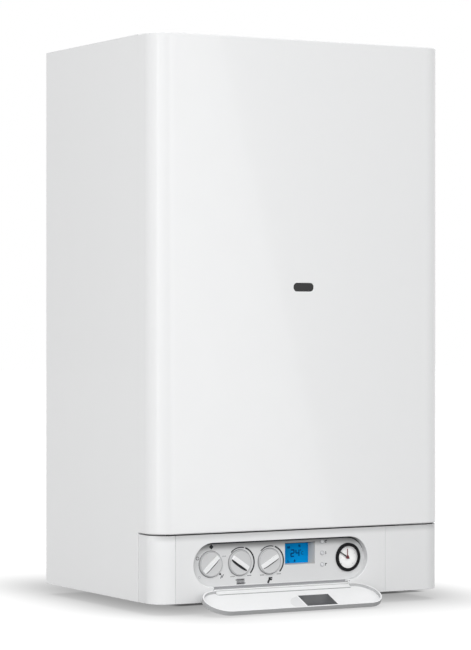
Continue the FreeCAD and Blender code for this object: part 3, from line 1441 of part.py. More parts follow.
def expansion_vessel():
    vessel = body("ExpansionVessel")
    back = -S.frame_sheet - S.seat_gap
    shell = sketch(vessel, "xz", back)
    rectangle(shell, (-S.vessel_half, S.vessel_half), (S.vessel_low, S.vessel_high))
    pad(vessel, shell, S.vessel_deep)
    dress_edges(vessel, "Fillet", S.vessel_round, lambda edge: True)
    seam = sketch(vessel, "xz", back - S.vessel_deep / 2 + S.seam_thick / 2)
    half, grow = S.vessel_half + S.seam_width, S.seam_width
    corner = S.vessel_round + S.seam_width
    low, high = S.vessel_low - grow, S.vessel_high + grow
    outline(seam, [(-half, low, corner), (half, low, corner), (half, high, corner), (-half, high, corner)])
    pad(vessel, seam, S.seam_thick)
    wall = S.vessel_wall
    space = body("VesselSpace")
    inner = sketch(space, "xz", back - wall)
    rectangle(inner, (wall - S.vessel_half, S.vessel_half - wall), (S.vessel_low + wall, S.vessel_high - wall))
    pad(space, inner, S.vessel_deep - 2 * wall)
    dress_edges(space, "Fillet", S.vessel_round - wall, lambda edge: True)
    middle = back - S.vessel_deep / 2
    port_end = S.vessel_low + S.vessel_round
    port = cylinder("VesselPort", S.vessel_port, "z", (0, middle), (low - S.overcut, port_end))
    node("expansion_vessel", cut("VesselShell", vessel, space, port))


STUBS = [
    ("Flow", -2, S.stub_large, S.stub_top),
    ("Hot", -1, S.stub_small, S.plate_low - S.seat_gap),
    ("Gas", 0, S.stub_large, S.valve_low - S.valve_boss),
    ("Cold", 1, S.stub_small, S.stub_top),
    ("Return", 2, S.stub_large, S.pump_level - S.pump_radius - S.pump_socket),
]


def connection_stubs():
    stubs = []
    for name, step, radius, top in STUBS:
        centre = (S.stub_pitch * step, -S.stub_row)
        shoulder = S.stub_end + S.stub_thread
        thread = cylinder(name + "Thread", radius, "z", centre, (S.stub_end, shoulder))
        neck = cylinder(name + "Neck", radius - S.stub_step, "z", centre, (shoulder, top))
        under = S.bracket_level - S.seat_gap
        nut = prism(name + "Nut", 6, radius + S.nut_margin, "z", centre, (under - S.nut_height, under))
        bore = cylinder(name + "Bore", radius - S.stub_wall, "z", centre, (S.stub_end - S.overcut, top + S.overcut))
        stubs.append(cut(name + "Stub", join(name + "Solid", thread, neck, nut), bore))
    node("connection_stubs", group("ConnectionStubs", *stubs))


def pipe_bracket():
    half = frame_half - S.frame_sheet - S.seat_gap
    top = S.bracket_level + S.bracket_sheet
    plate = box("BracketPlate", (-half, half), (-S.bracket_depth, -S.frame_sheet - S.seat_gap), (S.bracket_level, top))
    flange = box(
        "BracketFlange", (-half, half), (-S.bracket_depth, S.bracket_sheet - S.bracket_depth),
        (top - S.bracket_drop, top),
    )
    holes = []
    for name, step, radius, stub_top in STUBS:
        hole = radius - S.stub_step + S.stub_fit
        span = (S.bracket_level - S.overcut, top + S.overcut)
        holes.append(cylinder(name + "Hole", hole, "z", (S.stub_pitch * step, -S.stub_row), span))
    node("pipe_bracket", cut("PipeBracket", join("BracketSheet", plate, flange), *holes))


def plate_exchanger():
    x = (S.plate_left, S.plate_right)
    y = (-S.plate_front, -S.plate_back)
    z = (S.plate_low, S.plate_high)
    pieces = [box("PlateCore", x, inside(y, S.plate_step), inside(z, S.plate_step))]
    pitch = (S.plate_right - S.plate_left) / (S.plate_count - 1 + S.plate_share)
    for index in range(int(S.plate_count.number)):
        start = S.plate_left + pitch * index
        pieces.append(box(f"Plate{index}", (start, start + pitch * S.plate_share), y, z))
    node("plate_exchanger", join("PlateExchanger", *pieces))


flow_axis = -2 * S.stub_pitch
return_axis = 2 * S.stub_pitch
cold_axis = 1 * S.stub_pitch


def diverter_valve():
    centre = (flow_axis, -S.stub_row)
    barrel = cylinder("DiverterBarrel", S.diverter_radius, "z", centre, (S.stub_top, S.diverter_high))
    ports = cylinder(
        "DiverterPorts", S.port_radius, "x", (-S.stub_row, S.port_level),
        (flow_axis - S.port_reach, S.plate_left - S.seat_gap),
    )
    node("diverter_valve", join("DiverterValve", barrel, ports))


def valve_actuator():
    seat = S.diverter_high
    half = S.actuator_half
    neck = cylinder(
        "ActuatorNeck", S.diverter_radius, "z", (flow_axis, -S.stub_row), (seat, seat + S.actuator_neck),
    )
    head = box(
        "ActuatorHead", (flow_axis - half, flow_axis + half), (-S.stub_row - half, half - S.stub_row),
        (seat + S.actuator_neck, seat + S.actuator_neck + S.actuator_height),
    )
    node("valve_actuator", join("ValveActuator", neck, head))


pump_centre = (return_axis, S.pump_level)


def pump_housing():
    casing = cylinder("PumpCasing", S.pump_radius, "y", pump_centre, (-S.pump_front, -S.pump_back))
    reach = S.pump_radius + S.pump_socket
    sockets = cylinder(
        "PumpSockets", S.pump_boss, "z", (return_axis, -S.stub_row),
        (S.pump_level - reach, S.pump_level),
    )
    outlet = cylinder(
        "PumpOutlet", S.pump_boss, "z", (return_axis, -S.pump_axis), (S.pump_level, S.pump_level + reach),
    )
    cavity = cylinder(
        "PumpCavity", S.pump_cavity, "y", pump_centre, (-S.pump_front - S.overcut, -S.pump_back - S.pump_wall),
    )
    node("pump_housing", cut("PumpHousing", join("PumpCasting", casing, sockets, outlet), cavity))


def pump_motor():
    seat = -S.pump_front
    flange = cylinder("MotorFlange", S.pump_radius, "y", pump_centre, (seat - S.motor_flange, seat))
    can = cylinder("MotorCan", S.motor_radius, "y", pump_centre, (-S.motor_front, seat))
    terminal = box(
        "MotorTerminal", (return_axis - S.terminal_half, return_axis + S.terminal_half),
        (S.motor_cap - S.motor_front, seat - S.motor_flange),
        (S.pump_level, S.pump_level + S.motor_radius + S.terminal_height),
    )
    cavity = cylinder(
        "MotorCavity", S.motor_cavity, "y", pump_centre, (S.motor_cap - S.motor_front, seat + S.overcut),
    )
    bearing = cylinder(
        "MotorBearing", S.shaft_radius + S.spindle_fit, "y", pump_centre, (-S.shaft_end - S.overcut, seat),
    )
    node("pump_motor", cut("PumpMotor", join("MotorShell", flange, can, terminal), cavity, bearing))


def pump_rotor():
    shaft = cylinder("RotorShaft", S.shaft_radius, "y", pump_centre, (-S.shaft_end, -S.impeller_back))
    rotor = cylinder("RotorCore", S.rotor_radius, "y", pump_centre, (-S.rotor_front, -S.rotor_back))
    impeller = cylinder("Impeller", S.impeller_radius, "y", pump_centre, (-S.impeller_front, -S.impeller_back))
    node("pump_rotor", join("PumpRotor", shaft, rotor, impeller))


def flow_pipe():
    lane = -S.tube_first
    corners = [
        (-S.tube_end, lane, S.tube_level), (S.flow_place, lane, S.tube_level), (S.flow_place, lane, S.port_level),
        (S.flow_place, -S.stub_row, S.port_level), (flow_axis - S.port_reach, -S.stub_row, S.port_level),
    ]
    node("flow_pipe", pipe("FlowPipe", corners, S.pipe_radius, S.pipe_bore, S.pipe_bend))


def return_riser():
    lane = S.tube_pitch * (S.tube_count - 1) - S.tube_first
    start = S.pump_level + S.pump_radius + S.pump_socket
    corners = [
        (return_axis, lane, start), (return_axis, lane, S.riser_turn), (S.riser_place, lane, S.riser_turn),
        (S.riser_place, lane, S.tube_level), (S.tube_end, lane, S.tube_level),
    ]
    node("return_riser", pipe("ReturnRiser", corners, S.pipe_radius, S.pipe_bore, S.pipe_bend))


def cold_water_pipe():
    corners = [
        (cold_axis, -S.stub_row, S.stub_top), (cold_axis, -S.stub_row, S.cold_level),
        (cold_axis, -S.cold_back, S.cold_level), (S.cold_end, -S.cold_back, S.cold_level),
        (S.cold_end, -S.plate_back + S.seat_gap, S.cold_level),
    ]
    node("cold_water_pipe", pipe("ColdWaterPipe", corners, S.cold_radius, S.cold_bore, S.cold_bend))


def turning_cap(name, axis, centre, seat, away, radius, length):
    """A fluted cap on a pin: it starts at a seat and runs away from it along the axis, one way or the other."""
    near, far = seat + away * S.seat_gap, seat + away * (S.seat_gap + length)
    span = (near, far) if away > 0 else (far, near)
    grip = prism(name + "Grip", S.cap_sides, radius, axis, centre, span)
    bore_end = seat + away * (S.cap_pin_reach + S.overcut)
    bore_start = seat - away * S.overcut
    bore_span = (bore_start, bore_end) if away > 0 else (bore_end, bore_start)
    bore = cylinder(name + "Bore", S.cap_pin + S.spindle_fit, axis, centre, bore_span)
    return cut(name, grip, bore)


def safety_valve():
    centre = (-S.stub_row, S.safety_level)
    start = return_axis + S.stub_large - S.stub_step + S.seat_gap
    neck = cylinder("SafetyNeck", S.safety_neck, "x", centre, (start, S.safety_start))
    barrel = cylinder("SafetyBarrel", S.safety_radius, "x", centre, (S.safety_start, S.safety_end))
    pin = cylinder("SafetyPin", S.cap_pin, "x", centre, (S.safety_end, S.safety_end + S.cap_pin_reach))
    node("safety_valve", join("SafetyValve", neck, barrel, pin))
    cap = turning_cap("SafetyCap", "x", centre, S.safety_end, 1, S.cap_radius, S.cap_length)
    node("safety_valve_cap", cap)


def air_vent():
    centre = (-S.tube_end - S.vent_beside, -S.tube_first)
    seat = S.tube_level + S.pipe_radius
    barrel = cylinder("VentBarrel", S.vent_radius, "z", centre, (seat, seat + S.vent_body))
    cap = cylinder("VentCap", S.vent_cap_radius, "z", centre, (seat, seat + S.vent_body + S.vent_cap))
    node("air_vent", join("AirVent", barrel, cap))


def filling_tap():
    centre = (-S.stub_row, S.tap_level)
    start = cold_axis + S.stub_small - S.stub_step + S.seat_gap
    end = return_axis - S.stub_large + S.stub_step - S.seat_gap
    middle = (start + end) / 2
    barrel = cylinder("TapBarrel", S.tap_radius, "x", centre, (start, end))
    seat = -S.stub_row - S.tap_reach
    boss = cylinder("TapBoss", S.tap_boss, "y", (middle, S.tap_level), (seat, -S.stub_row))
    pin = cylinder("TapPin", S.cap_pin, "y", (middle, S.tap_level), (seat - S.cap_pin_reach, seat))
    node("filling_tap", join("FillingTap", barrel, boss, pin))
    place = (middle, S.tap_level)
    knob_piece = turning_cap("TapKnob", "y", place, seat, -1, S.tap_knob_radius, S.tap_knob_length)
    node("filling_tap_knob", knob_piece)


rear_frame()
side_panel("left_side_panel", LEFT)
side_panel("right_side_panel", RIGHT)
top_panel()
casing_screws()
front_cover()
sight_window()
cover_studs()
cheek("left_cheek", LEFT, left_joint - S.module_joint / 2)
cheek("right_cheek", RIGHT, S.module_right + S.module_joint / 2)
control_panel()
display_screen()
knob("mode_knob", S.knob_one, S.mode_angle)
knob("heating_knob", S.knob_two, S.heating_angle)
knob("hot_water_knob", S.knob_three, S.hot_water_angle)
knob_encoders()
for label, level in zip(("reset_button", "info_button", "service_button"), button_levels()):
    button(label, level)
gauge()
flap()
flap_window()
flap_hinge_pin()
control_box()
control_board()
combustion_chamber()
chamber_front()
sight_glass()
electrodes()
heat_exchanger()
draught_hood()
flue_collar()
burner_blades()
burner_frame()
gas_manifold()
gas_valve()
gas_valve_coils()
gas_pipe()
expansion_vessel()
connection_stubs()
pipe_bracket()
plate_exchanger()
diverter_valve()
valve_actuator()
pump_housing()
pump_motor()
pump_rotor()
flow_pipe()
return_riser()
cold_water_pipe()
safety_valve()
air_vent()
filling_tap()
doc.recompute()

failed = [thing.Label for thing in doc.Objects if {"Invalid", "Error"} & set(thing.State)]
broken = [thing.Label for thing in nodes if thing.Shape.isNull() or not thing.Shape.isValid()]
if failed or broken:
    raise RuntimeError(f"failed features {failed}, broken shapes {broken}")

os.makedirs("parts", exist_ok=True)
for thing in nodes:
    thing.Shape.exportStep(f"parts/{thing.Label}.step")
    print(thing.Label, len(thing.Shape.Solids), "solids", round(thing.Shape.Volume / 1000, 1), "cm3")
print(len(nodes), "pieces")
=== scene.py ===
# %% [markdown]
# # Dressing a wall-hung gas boiler
# The solids of this boiler were drawn elsewhere, in metres, with the wall as the plane Y = 0 and the point midway
# between the hanging holes as the origin. This lesson loads them as a fixed frame and gives every piece its real
# surface: sprayed enamel on the sheet-metal casing, moulded plastic on the control panel, copper, brass and zinc
# inside. Nothing moves from its place, so the joints of the frame go on working.

# %% Load the frame
import json
import math

import bmesh
import bpy
from mathutils import Matrix, Vector


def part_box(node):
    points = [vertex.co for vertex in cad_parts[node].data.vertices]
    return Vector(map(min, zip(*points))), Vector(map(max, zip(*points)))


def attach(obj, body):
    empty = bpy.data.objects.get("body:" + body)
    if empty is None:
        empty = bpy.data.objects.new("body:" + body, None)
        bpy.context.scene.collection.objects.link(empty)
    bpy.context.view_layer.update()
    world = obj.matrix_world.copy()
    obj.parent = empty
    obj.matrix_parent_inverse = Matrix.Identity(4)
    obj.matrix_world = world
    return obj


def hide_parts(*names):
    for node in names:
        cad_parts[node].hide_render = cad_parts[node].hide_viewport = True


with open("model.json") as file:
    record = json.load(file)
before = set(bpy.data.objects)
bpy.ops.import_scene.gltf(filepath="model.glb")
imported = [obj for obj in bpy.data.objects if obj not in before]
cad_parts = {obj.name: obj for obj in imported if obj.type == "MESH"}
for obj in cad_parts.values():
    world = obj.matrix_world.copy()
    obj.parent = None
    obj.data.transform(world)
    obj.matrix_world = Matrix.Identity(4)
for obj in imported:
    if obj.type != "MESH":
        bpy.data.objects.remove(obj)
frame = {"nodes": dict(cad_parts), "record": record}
scene = bpy.context.scene
nodes = frame["nodes"]
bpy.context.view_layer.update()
body_of = {name: body for body, members in frame["record"]["behaviour"]["bodies"].items() for name in members}

# Measures on the boiler are in millimetres. Heights count from its base, which lies at this level in metres.
MM = 0.001
BASE = -0.690

# %% [markdown]
# ## The camera
# The picture was taken with a long lens from the left, with the camera held level. A level camera keeps the
# upright edges parallel, and a small lens shift then moves the frame down without tilting it. The distance and the
# focal length were fitted to the edges of the casing.

# %% Place the camera
lens_view = bpy.data.cameras.new("photo_camera")
lens_view.sensor_width = 36
lens_view.lens = 145.0
lens_view.shift_y = -0.0090
lens_view.clip_end = 50
camera = bpy.data.objects.new("photo_camera", lens_view)
camera.location = (-1.7605, -3.2689, BASE + 0.3637)
camera.rotation_euler = (math.radians(90), 0, math.radians(-29.38))
scene.collection.objects.link(camera)
scene.camera = camera
scene.view_settings.view_transform = "Standard"
print("camera at", tuple(round(value, 3) for value in camera.location))

# %% [markdown]
# ## A few helpers
# Most steps need the same few moves: turn a shape into a mesh, link it as an object or as a piece on a body, add a
# node and join it to others, and start a node group. Short helpers keep the later cells about the boiler itself.

# %% Helpers for meshes and objects
SQUARE = ((-1, -1), (1, -1), (1, 1), (-1, 1))


def place(name, mesh):
    """Links a mesh as an object at the origin."""
    piece = bpy.data.objects.new(name, mesh)
    scene.collection.objects.link(piece)
    return piece


def piece_on(name, mesh, body):
    """Links a mesh as a piece that rides on a body."""
    piece = place(name, mesh)
    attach(piece, body)
    return piece


def new_mesh(name, shape):
    """A new mesh with the shape of a bmesh, which is freed."""
    mesh = bpy.data.meshes.new(name)
    shape.to_mesh(mesh)
    shape.free()
    return mesh


def smooth(mesh, angle):
    """Smooth shading, with the edges sharp that turn by more than an angle in degrees."""
    for face in mesh.polygons:
        face.use_smooth = True
    mesh.set_sharp_from_angle(angle=math.radians(angle))


def plain_mesh(piece):
    """The evaluated shape of an object as a plain mesh."""
    evaluated = piece.evaluated_get(bpy.context.evaluated_depsgraph_get())
    return bpy.data.meshes.new_from_object(evaluated)


print("helpers for meshes")


# %% Helpers for node trees
def add(tree, kind, inputs=None, **settings):
    """Adds a node, sets its properties and the values or links of its inputs."""
    node = tree.nodes.new(kind)
    for name, value in settings.items():
        setattr(node, name, value)
    for name, value in (inputs or {}).items():
        if isinstance(value, bpy.types.NodeSocket):
            tree.links.new(value, node.inputs[name])
        else:
            node.inputs[name].default_value = value
    return node


def maths(tree, operation, *values):
    """The result of a math node on numbers or sockets."""
    return add(tree, "ShaderNodeMath", dict(enumerate(values)), operation=operation).outputs[0]


def remap(tree, value, source=(0.0, 1.0), target=(0.0, 1.0), smooth=False):
    """Takes a value from one range to another, and holds it at the ends."""
    ends = {"Value": value, "From Min": source[0], "From Max": source[1], "To Min": target[0], "To Max": target[1]}
    kind = "SMOOTHSTEP" if smooth else "LINEAR"
    return add(tree, "ShaderNodeMapRange", ends, interpolation_type=kind).outputs[0]


def noise(tree, where, scale, detail):
    """Soft noise at places, between zero and one."""
    return add(tree, "ShaderNodeTexNoise", {"Vector": where, "Scale": scale, "Detail": detail}).outputs[0]


def new_group(kind, name, inputs, outputs):
    """A node group. Returns its tree, the sockets of what it is given and the sockets of its result."""
    tree = bpy.data.node_groups.new(name, kind)
    for side, sockets in (("INPUT", inputs), ("OUTPUT", outputs)):
        for label, socket_kind in sockets.items():
            tree.interface.new_socket(name=label, in_out=side, socket_type=socket_kind)
    return tree, tree.nodes.new("NodeGroupInput").outputs, tree.nodes.new("NodeGroupOutput").inputs


print("helpers ready")

# %% [markdown]
# ## Floor and backdrop
# The studio picture is white all round, with a soft grey shadow below the casing. The floor is a dark diffuse sheet
# that throws little light back at the boiler. Rays from the camera, from mirroring surfaces and through clear ones
# also see it glow, which brings it to white. A soft shade below the casing, with a narrow core, dims that glow. From
# below the floor is clear. The world lights the boiler at one level, and shows white behind it.

# %% Floor
SEEN_RAYS = ("Is Camera Ray", "Is Glossy Ray", "Is Transmission Ray")


def seen_directly(tree):
    """One for rays that show the background, zero for rays that only carry light."""
    rays = add(tree, "ShaderNodeLightPath")
    seen = rays.outputs[SEEN_RAYS[0]]
    for kind in SEEN_RAYS[1:]:
        seen = maths(tree, "MAXIMUM", seen, rays.outputs[kind])
    return seen


FLOOR, FLOOR_HALF = BASE - 0.0145, 14.0
PAPER_UNSEEN, PAPER_SEEN, GLOW = 0.13, 0.1, 0.88
# A shade has a middle, a half width and a fading reach along X and along Y, in metres, and a darkest level.
SOFT_SHADE, SOFT_DARK = ((0.025, 0.165, 0.18), (-0.09, 0.09, 0.33)), 0.35
CORE_SHADE, CORE_DARK = ((0.058, 0.183, 0.02), (-0.20, 0.024, 0.008)), 0.25

floor_corners = [(x * FLOOR_HALF, y * FLOOR_HALF, FLOOR) for x, y in SQUARE]
floor_mesh = bpy.data.meshes.new("studio_floor")
floor_mesh.from_pydata(floor_corners, [], [(0, 1, 2, 3)])
studio_floor = place("studio_floor", floor_mesh)
floor_paint = bpy.data.materials.new("studio_floor")
floor_paint.use_nodes = True
tree = floor_paint.node_tree
tree.nodes.remove(tree.nodes["Principled BSDF"])
seen = seen_directly(tree)
spot = add(tree, "ShaderNodeSeparateXYZ", {"Vector": add(tree, "ShaderNodeTexCoord").outputs["Object"]})


def outside(axis, middle, half, reach):
    """How far the floor lies outside a span of one axis, with the reach of the shade as the unit."""
    away = maths(tree, "ABSOLUTE", maths(tree, "SUBTRACT", spot.outputs[axis], middle))
    return remap(tree, away, (half, half + reach))


def shade(spans, dark):
    """From dark, inside both spans, to one at the end of their reach."""
    corner = add(tree, "ShaderNodeCombineXYZ", {"X": outside("X", *spans[0]), "Y": outside("Y", *spans[1])})
    far = add(tree, "ShaderNodeVectorMath", {0: corner.outputs[0]}, operation="LENGTH")
    return remap(tree, far.outputs["Value"], target=(dark, 1.0), smooth=True)


both = maths(tree, "MULTIPLY", shade(SOFT_SHADE, SOFT_DARK), shade(CORE_SHADE, CORE_DARK))
paper = add(tree, "ShaderNodeBsdfDiffuse", {"Color": remap(tree, seen, target=(PAPER_UNSEEN, PAPER_SEEN))})
lift = maths(tree, "MULTIPLY", seen, maths(tree, "MULTIPLY", both, GLOW))
glow = add(tree, "ShaderNodeEmission", {"Strength": lift})
sheet = add(tree, "ShaderNodeAddShader", {0: paper.outputs[0], 1: glow.outputs[0]})
below = add(tree, "ShaderNodeNewGeometry").outputs["Backfacing"]
clear = add(tree, "ShaderNodeBsdfTransparent")
sheet = add(tree, "ShaderNodeMixShader", {0: below, 1: sheet.outputs[0], 2: clear.outputs[0]})
tree.links.new(sheet.outputs[0], tree.nodes["Material Output"].inputs["Surface"])
studio_floor.data.materials.append(floor_paint)
print("floor", round(FLOOR, 4))

# %% World
WORLD_UNSEEN, WORLD_SEEN = 0.92, 1.0

world = bpy.data.worlds.new("studio")
world.use_nodes = True
scene.world = world
tree = world.node_tree
strength = remap(tree, seen_directly(tree), target=(WORLD_UNSEEN, WORLD_SEEN))
tree.links.new(strength, tree.nodes["Background"].inputs["Strength"])
tree.nodes["Background"].inputs["Color"].default_value = (1, 1, 1, 1)
print("world lights at", WORLD_UNSEEN, "and shows", WORLD_SEEN)

# %% [markdown]
# ## Lamps
# A high key lamp lights the casing from the front, and two fills lift its sides. Surfaces don't mirror the fills, so
# they leave no highlight. A narrow strip and a tall window do the opposite: they show only as mirrored shapes, one on
# the rounded front corner and one on the cover, and add no other light.

# %% Lamps
def softbox(name, at, towards, width, height, power):
    """A rectangular lamp, aimed at a point. Its places and sizes are in metres, its power in watts."""
    lamp = bpy.data.lights.new(name, "AREA")
    lamp.shape = "RECTANGLE"
    lamp.size = width
    lamp.size_y = height
    lamp.energy = power
    holder = bpy.data.objects.new(name, lamp)
    holder.location = at
    holder.rotation_euler = (Vector(towards) - Vector(at)).to_track_quat("-Z", "Y").to_euler()
    scene.collection.objects.link(holder)
    return holder


high_key = softbox("high_key", (-1.9, -7.35, 7.1), (0, -0.3, -0.4), 3.0, 3.0, 230)
corner_strip = softbox("corner_strip", (-1.09, -0.82, -0.3), (-0.22, -0.32, -0.3), 0.1, 1.6, 0.9)
corner_strip.visible_diffuse = False
left_fill = softbox("left_fill", (-1.5, -1.6, -0.3), (-0.22, -0.2, -0.3), 1.0, 1.6, 15)
left_fill.visible_glossy = False
right_fill = softbox("right_fill", (2.4, -1.8, 0.1), (0.2, -0.3, -0.3), 1.0, 1.6, 2)
right_fill.visible_glossy = False

# The window stands upright before the cover and leans sideways, as its reflection does.
LEAN = math.radians(15.3)
window = softbox("mirrored_window", (0.30, -1.5, -0.31), (0.30, 0, -0.31), 0.7, 1.3, 2.9)
window.visible_diffuse = False
window.rotation_euler = (Matrix.Rotation(-LEAN, 3, "Y") @ Matrix.Rotation(math.radians(90), 3, "X")).to_euler()

# The floor has a broad lamp of its own straight above, so the only shadow on it is the soft one below the casing.
not_the_floor = bpy.data.collections.new("not_the_floor")
not_the_floor.objects.link(studio_floor)
not_the_floor.collection_objects[0].light_linking.link_state = "EXCLUDE"
for lamp in (high_key, corner_strip, left_fill, right_fill, window):
    lamp.light_linking.receiver_collection = not_the_floor
only_the_floor = bpy.data.collections.new("only_the_floor")
only_the_floor.objects.link(studio_floor)
overhead = bpy.data.lights.new("overhead", "SUN")
overhead.energy = math.pi
overhead.angle = math.radians(60)
overhead_holder = bpy.data.objects.new("overhead", overhead)
overhead_holder.light_linking.receiver_collection = only_the_floor
scene.collection.objects.link(overhead_holder)
print("lamps placed")

# %% [markdown]
# ## Surface effects that several finishes share
# Sprayed enamel and moulded plastic both show a fine ripple, a slight drift of colour and an uneven gloss. Sheet
# metal and pipes show grain along one way. Each effect is one node group, placed in many materials with its own
# numbers. Everything is measured in Object coordinates, so the pattern keeps its real size on every piece.

# %% The ripple of sprayed and moulded surfaces
FLOAT, COLOUR, VECTOR = "NodeSocketFloat", "NodeSocketColor", "NodeSocketVector"
SURFACE_IN = {"Color": COLOUR, "Tint": COLOUR, "Rough Low": FLOAT, "Rough High": FLOAT, "Depth": FLOAT}
SURFACE_OUT = {"Color": COLOUR, "Roughness": FLOAT, "Normal": VECTOR}
# A mix node has a socket for every kind of value. These are the numbers of the ones for colours.
MIX_AMOUNT, MIX_FIRST, MIX_SECOND, MIX_RESULT = 0, 6, 7, 2
# Noise seldom leaves this range, so this is what is spread over the roughness of a surface.
NOISE_RANGE = (0.3, 0.7)


def surface(tree, given, result, tinted, uneven, relief):
    """Ends a group: a colour blended with its tint, an uneven roughness and a fine relief."""
    blend = add(tree, "ShaderNodeMix", {
        MIX_AMOUNT: tinted, MIX_FIRST: given["Color"], MIX_SECOND: given["Tint"],
    }, data_type="RGBA")
    rough = remap(tree, uneven, NOISE_RANGE, (given["Rough Low"], given["Rough High"]))
    bump = add(tree, "ShaderNodeBump", {"Height": relief, "Distance": given["Depth"]})
    ends = {"Color": blend.outputs[MIX_RESULT], "Roughness": rough, "Normal": bump.outputs[0]}
    for label, socket in ends.items():
        tree.links.new(socket, result[label])


ripple, given, result = new_group("ShaderNodeTree", "ripple_and_drift", {
    **SURFACE_IN, "Drift": FLOAT, "Drift Scale": FLOAT, "Ripple Scale": FLOAT,
}, SURFACE_OUT)
where = add(ripple, "ShaderNodeTexCoord").outputs["Object"]
drift = noise(ripple, where, given["Drift Scale"], 4.0)
peel = noise(ripple, where, given["Ripple Scale"], 2.0)
surface(ripple, given, result, maths(ripple, "MULTIPLY", drift, given["Drift"]), drift, peel)
print("group", ripple.name)

# %% The grain of drawn and rolled metal
STREAK_RANGE = (0.12, 0.42)
grain, given, result = new_group("ShaderNodeTree", "metal_grain", {
    **SURFACE_IN, "Stretch": VECTOR, "Patch Scale": FLOAT,
}, SURFACE_OUT)
where = add(grain, "ShaderNodeTexCoord").outputs["Object"]
drawn = add(grain, "ShaderNodeVectorMath", {0: where, 1: given["Stretch"]}, operation="MULTIPLY").outputs[0]
lines = noise(grain, drawn, 1.0, 3.0)
patch = noise(grain, where, given["Patch Scale"], 5.0)
streaks = remap(grain, maths(grain, "MULTIPLY", lines, patch), STREAK_RANGE)
surface(grain, given, result, streaks, patch, lines)
print("group", grain.name)

# %% [markdown]
# ## Finishes
# A finish is a Principled shader fed by one of the groups. What is the same all over a surface, such as how metallic
# it is, is set on the shader itself.

# %% How a finish is made
SHADER_INPUT = {"shine": "Specular IOR Level"}
finishes = {}


def finish(name, group, values, **shader):
    """A material named for a finish of this boiler, kept under that name."""
    material = bpy.data.materials.new(name)
    material.use_nodes = True
    tree = material.node_tree
    bsdf = tree.nodes["Principled BSDF"]
    for label, value in shader.items():
        bsdf.inputs[SHADER_INPUT.get(label, label.replace("_", " ").title())].default_value = value
    effect = tree.nodes.new("ShaderNodeGroup")
    effect.node_tree = group
    for label, value in values.items():
        effect.inputs[label].default_value = value
    for output, socket in (("Color", "Base Color"), ("Roughness", "Roughness"), ("Normal", "Normal")):
        tree.links.new(effect.outputs[output], bsdf.inputs[socket])
    finishes[name] = material
    return material


def cool(level):
    """A grey with a slight cast of blue."""
    return level, level + 0.005, level + 0.01


def moulded(name, colour, tint, low, high, drift=0.4, ripple_scale=900.0, depth=0.00003, **shader):
    """A finish of plastic or enamel, with its roughness between low and high."""
    finish(name, ripple, {
        "Color": (*colour, 1), "Tint": (*tint, 1), "Drift": drift, "Drift Scale": 25.0, "Rough Low": low,
        "Rough High": high, "Ripple Scale": ripple_scale, "Depth": depth,
    }, **shader)


def metal(name, colour, tint, stretch, low, high, depth=0.00002):
    """A finish of bare metal, with its grain stretched along one way."""
    finish(name, grain, {
        "Color": (*colour, 1), "Tint": (*tint, 1), "Stretch": stretch, "Rough Low": low, "Rough High": high,
        "Depth": depth, "Patch Scale": 18.0,
    }, metallic=1.0)


print("finishes use", ripple.name, "and", grain.name)

# %% White and grey finishes of the outside
moulded("white_enamel", cool(0.85), cool(0.82), 0.2, 0.26, 0.5, 260.0, 0.00001, coat_weight=0.6, coat_roughness=0.03)
moulded("panel_plastic", cool(0.82), cool(0.79), 0.4, 0.5, shine=0.35)
moulded("cheek_plastic", cool(0.86), cool(0.83), 0.35, 0.45, shine=0.4)
moulded("flap_plastic", cool(0.81), cool(0.785), 0.36, 0.46, shine=0.3)
# The rim of the flap is painted in shade with this mid grey of the same plastic.
moulded("flap_rim_painted_shade", cool(0.5), cool(0.47), 0.4, 0.5, shine=0.2)
# The knobs are painted in shade, darker than their white grips, which get the lit white as a second finish.
moulded("knob_painted_shade", cool(0.6), cool(0.57), 0.3, 0.4, shine=0.3)
moulded("grip_plastic", cool(0.84), cool(0.81), 0.3, 0.4)
# The recess of the panel is painted in shade, in a grey darker than the panel round it. The ramp patch on the flap uses
# the same painted shade.
moulded("plastic_in_painted_shade", cool(0.7), cool(0.67), 0.45, 0.55, shine=0.25)
# The walls of the display well are painted in shade, in a darker, warmer grey that also holds back the blue of the
# display's light.
moulded("well_painted_shade", (0.68, 0.65, 0.6), (0.65, 0.62, 0.57), 0.45, 0.55, shine=0.2)
# This dark grey paints shade on the top of the hinge barrel and on the step line inside the flap.
moulded("hinge_painted_shade", (0.36, 0.365, 0.375), cool(0.33), 0.5, 0.6, shine=0.2)
moulded("button_plastic", (0.7, 0.71, 0.73), (0.64, 0.65, 0.67), 0.25, 0.35)
print(len(finishes), "finishes of the outside")

# %% [markdown]
# ## Drawn shades
# The upper lip of the recess and the lower edge of the cover keep light off the plastic below them. Those shades are
# narrow, and the light here comes from nearly all round, so they are drawn: three finishes get darker towards the
# overhang. They also get darker towards the front, so the shade fades out along the sides of the casing.

# %% Shade under the lip and under the cover
COVER_EDGE = 87.2
COVER_SHADE, COVER_DARK = (COVER_EDGE - 9.5, COVER_EDGE), 0.7
LIP_SHADE, LIP_DARK = (63.5, 74.5), 0.42


def darker_above(look, heights, dark, depths):
    """Darkens a finish from the first to the second of two heights and of two depths, in millimetres."""
    tree = finishes[look].node_tree
    base = tree.nodes["Principled BSDF"].inputs["Base Color"]
    colour = base.links[0].from_socket
    spot = add(tree, "ShaderNodeSeparateXYZ", {0: add(tree, "ShaderNodeTexCoord").outputs["Object"]})
    rise = remap(tree, spot.outputs["Z"], [height * MM + BASE for height in heights], smooth=True)
    reach = remap(tree, spot.outputs["Y"], [depth * MM for depth in depths], smooth=True)
    fade = remap(tree, maths(tree, "MULTIPLY", rise, reach), target=(1.0, dark))
    dimmed = add(tree, "ShaderNodeVectorMath", {0: colour, "Scale": fade}, operation="SCALE")
    tree.links.new(dimmed.outputs[0], base)


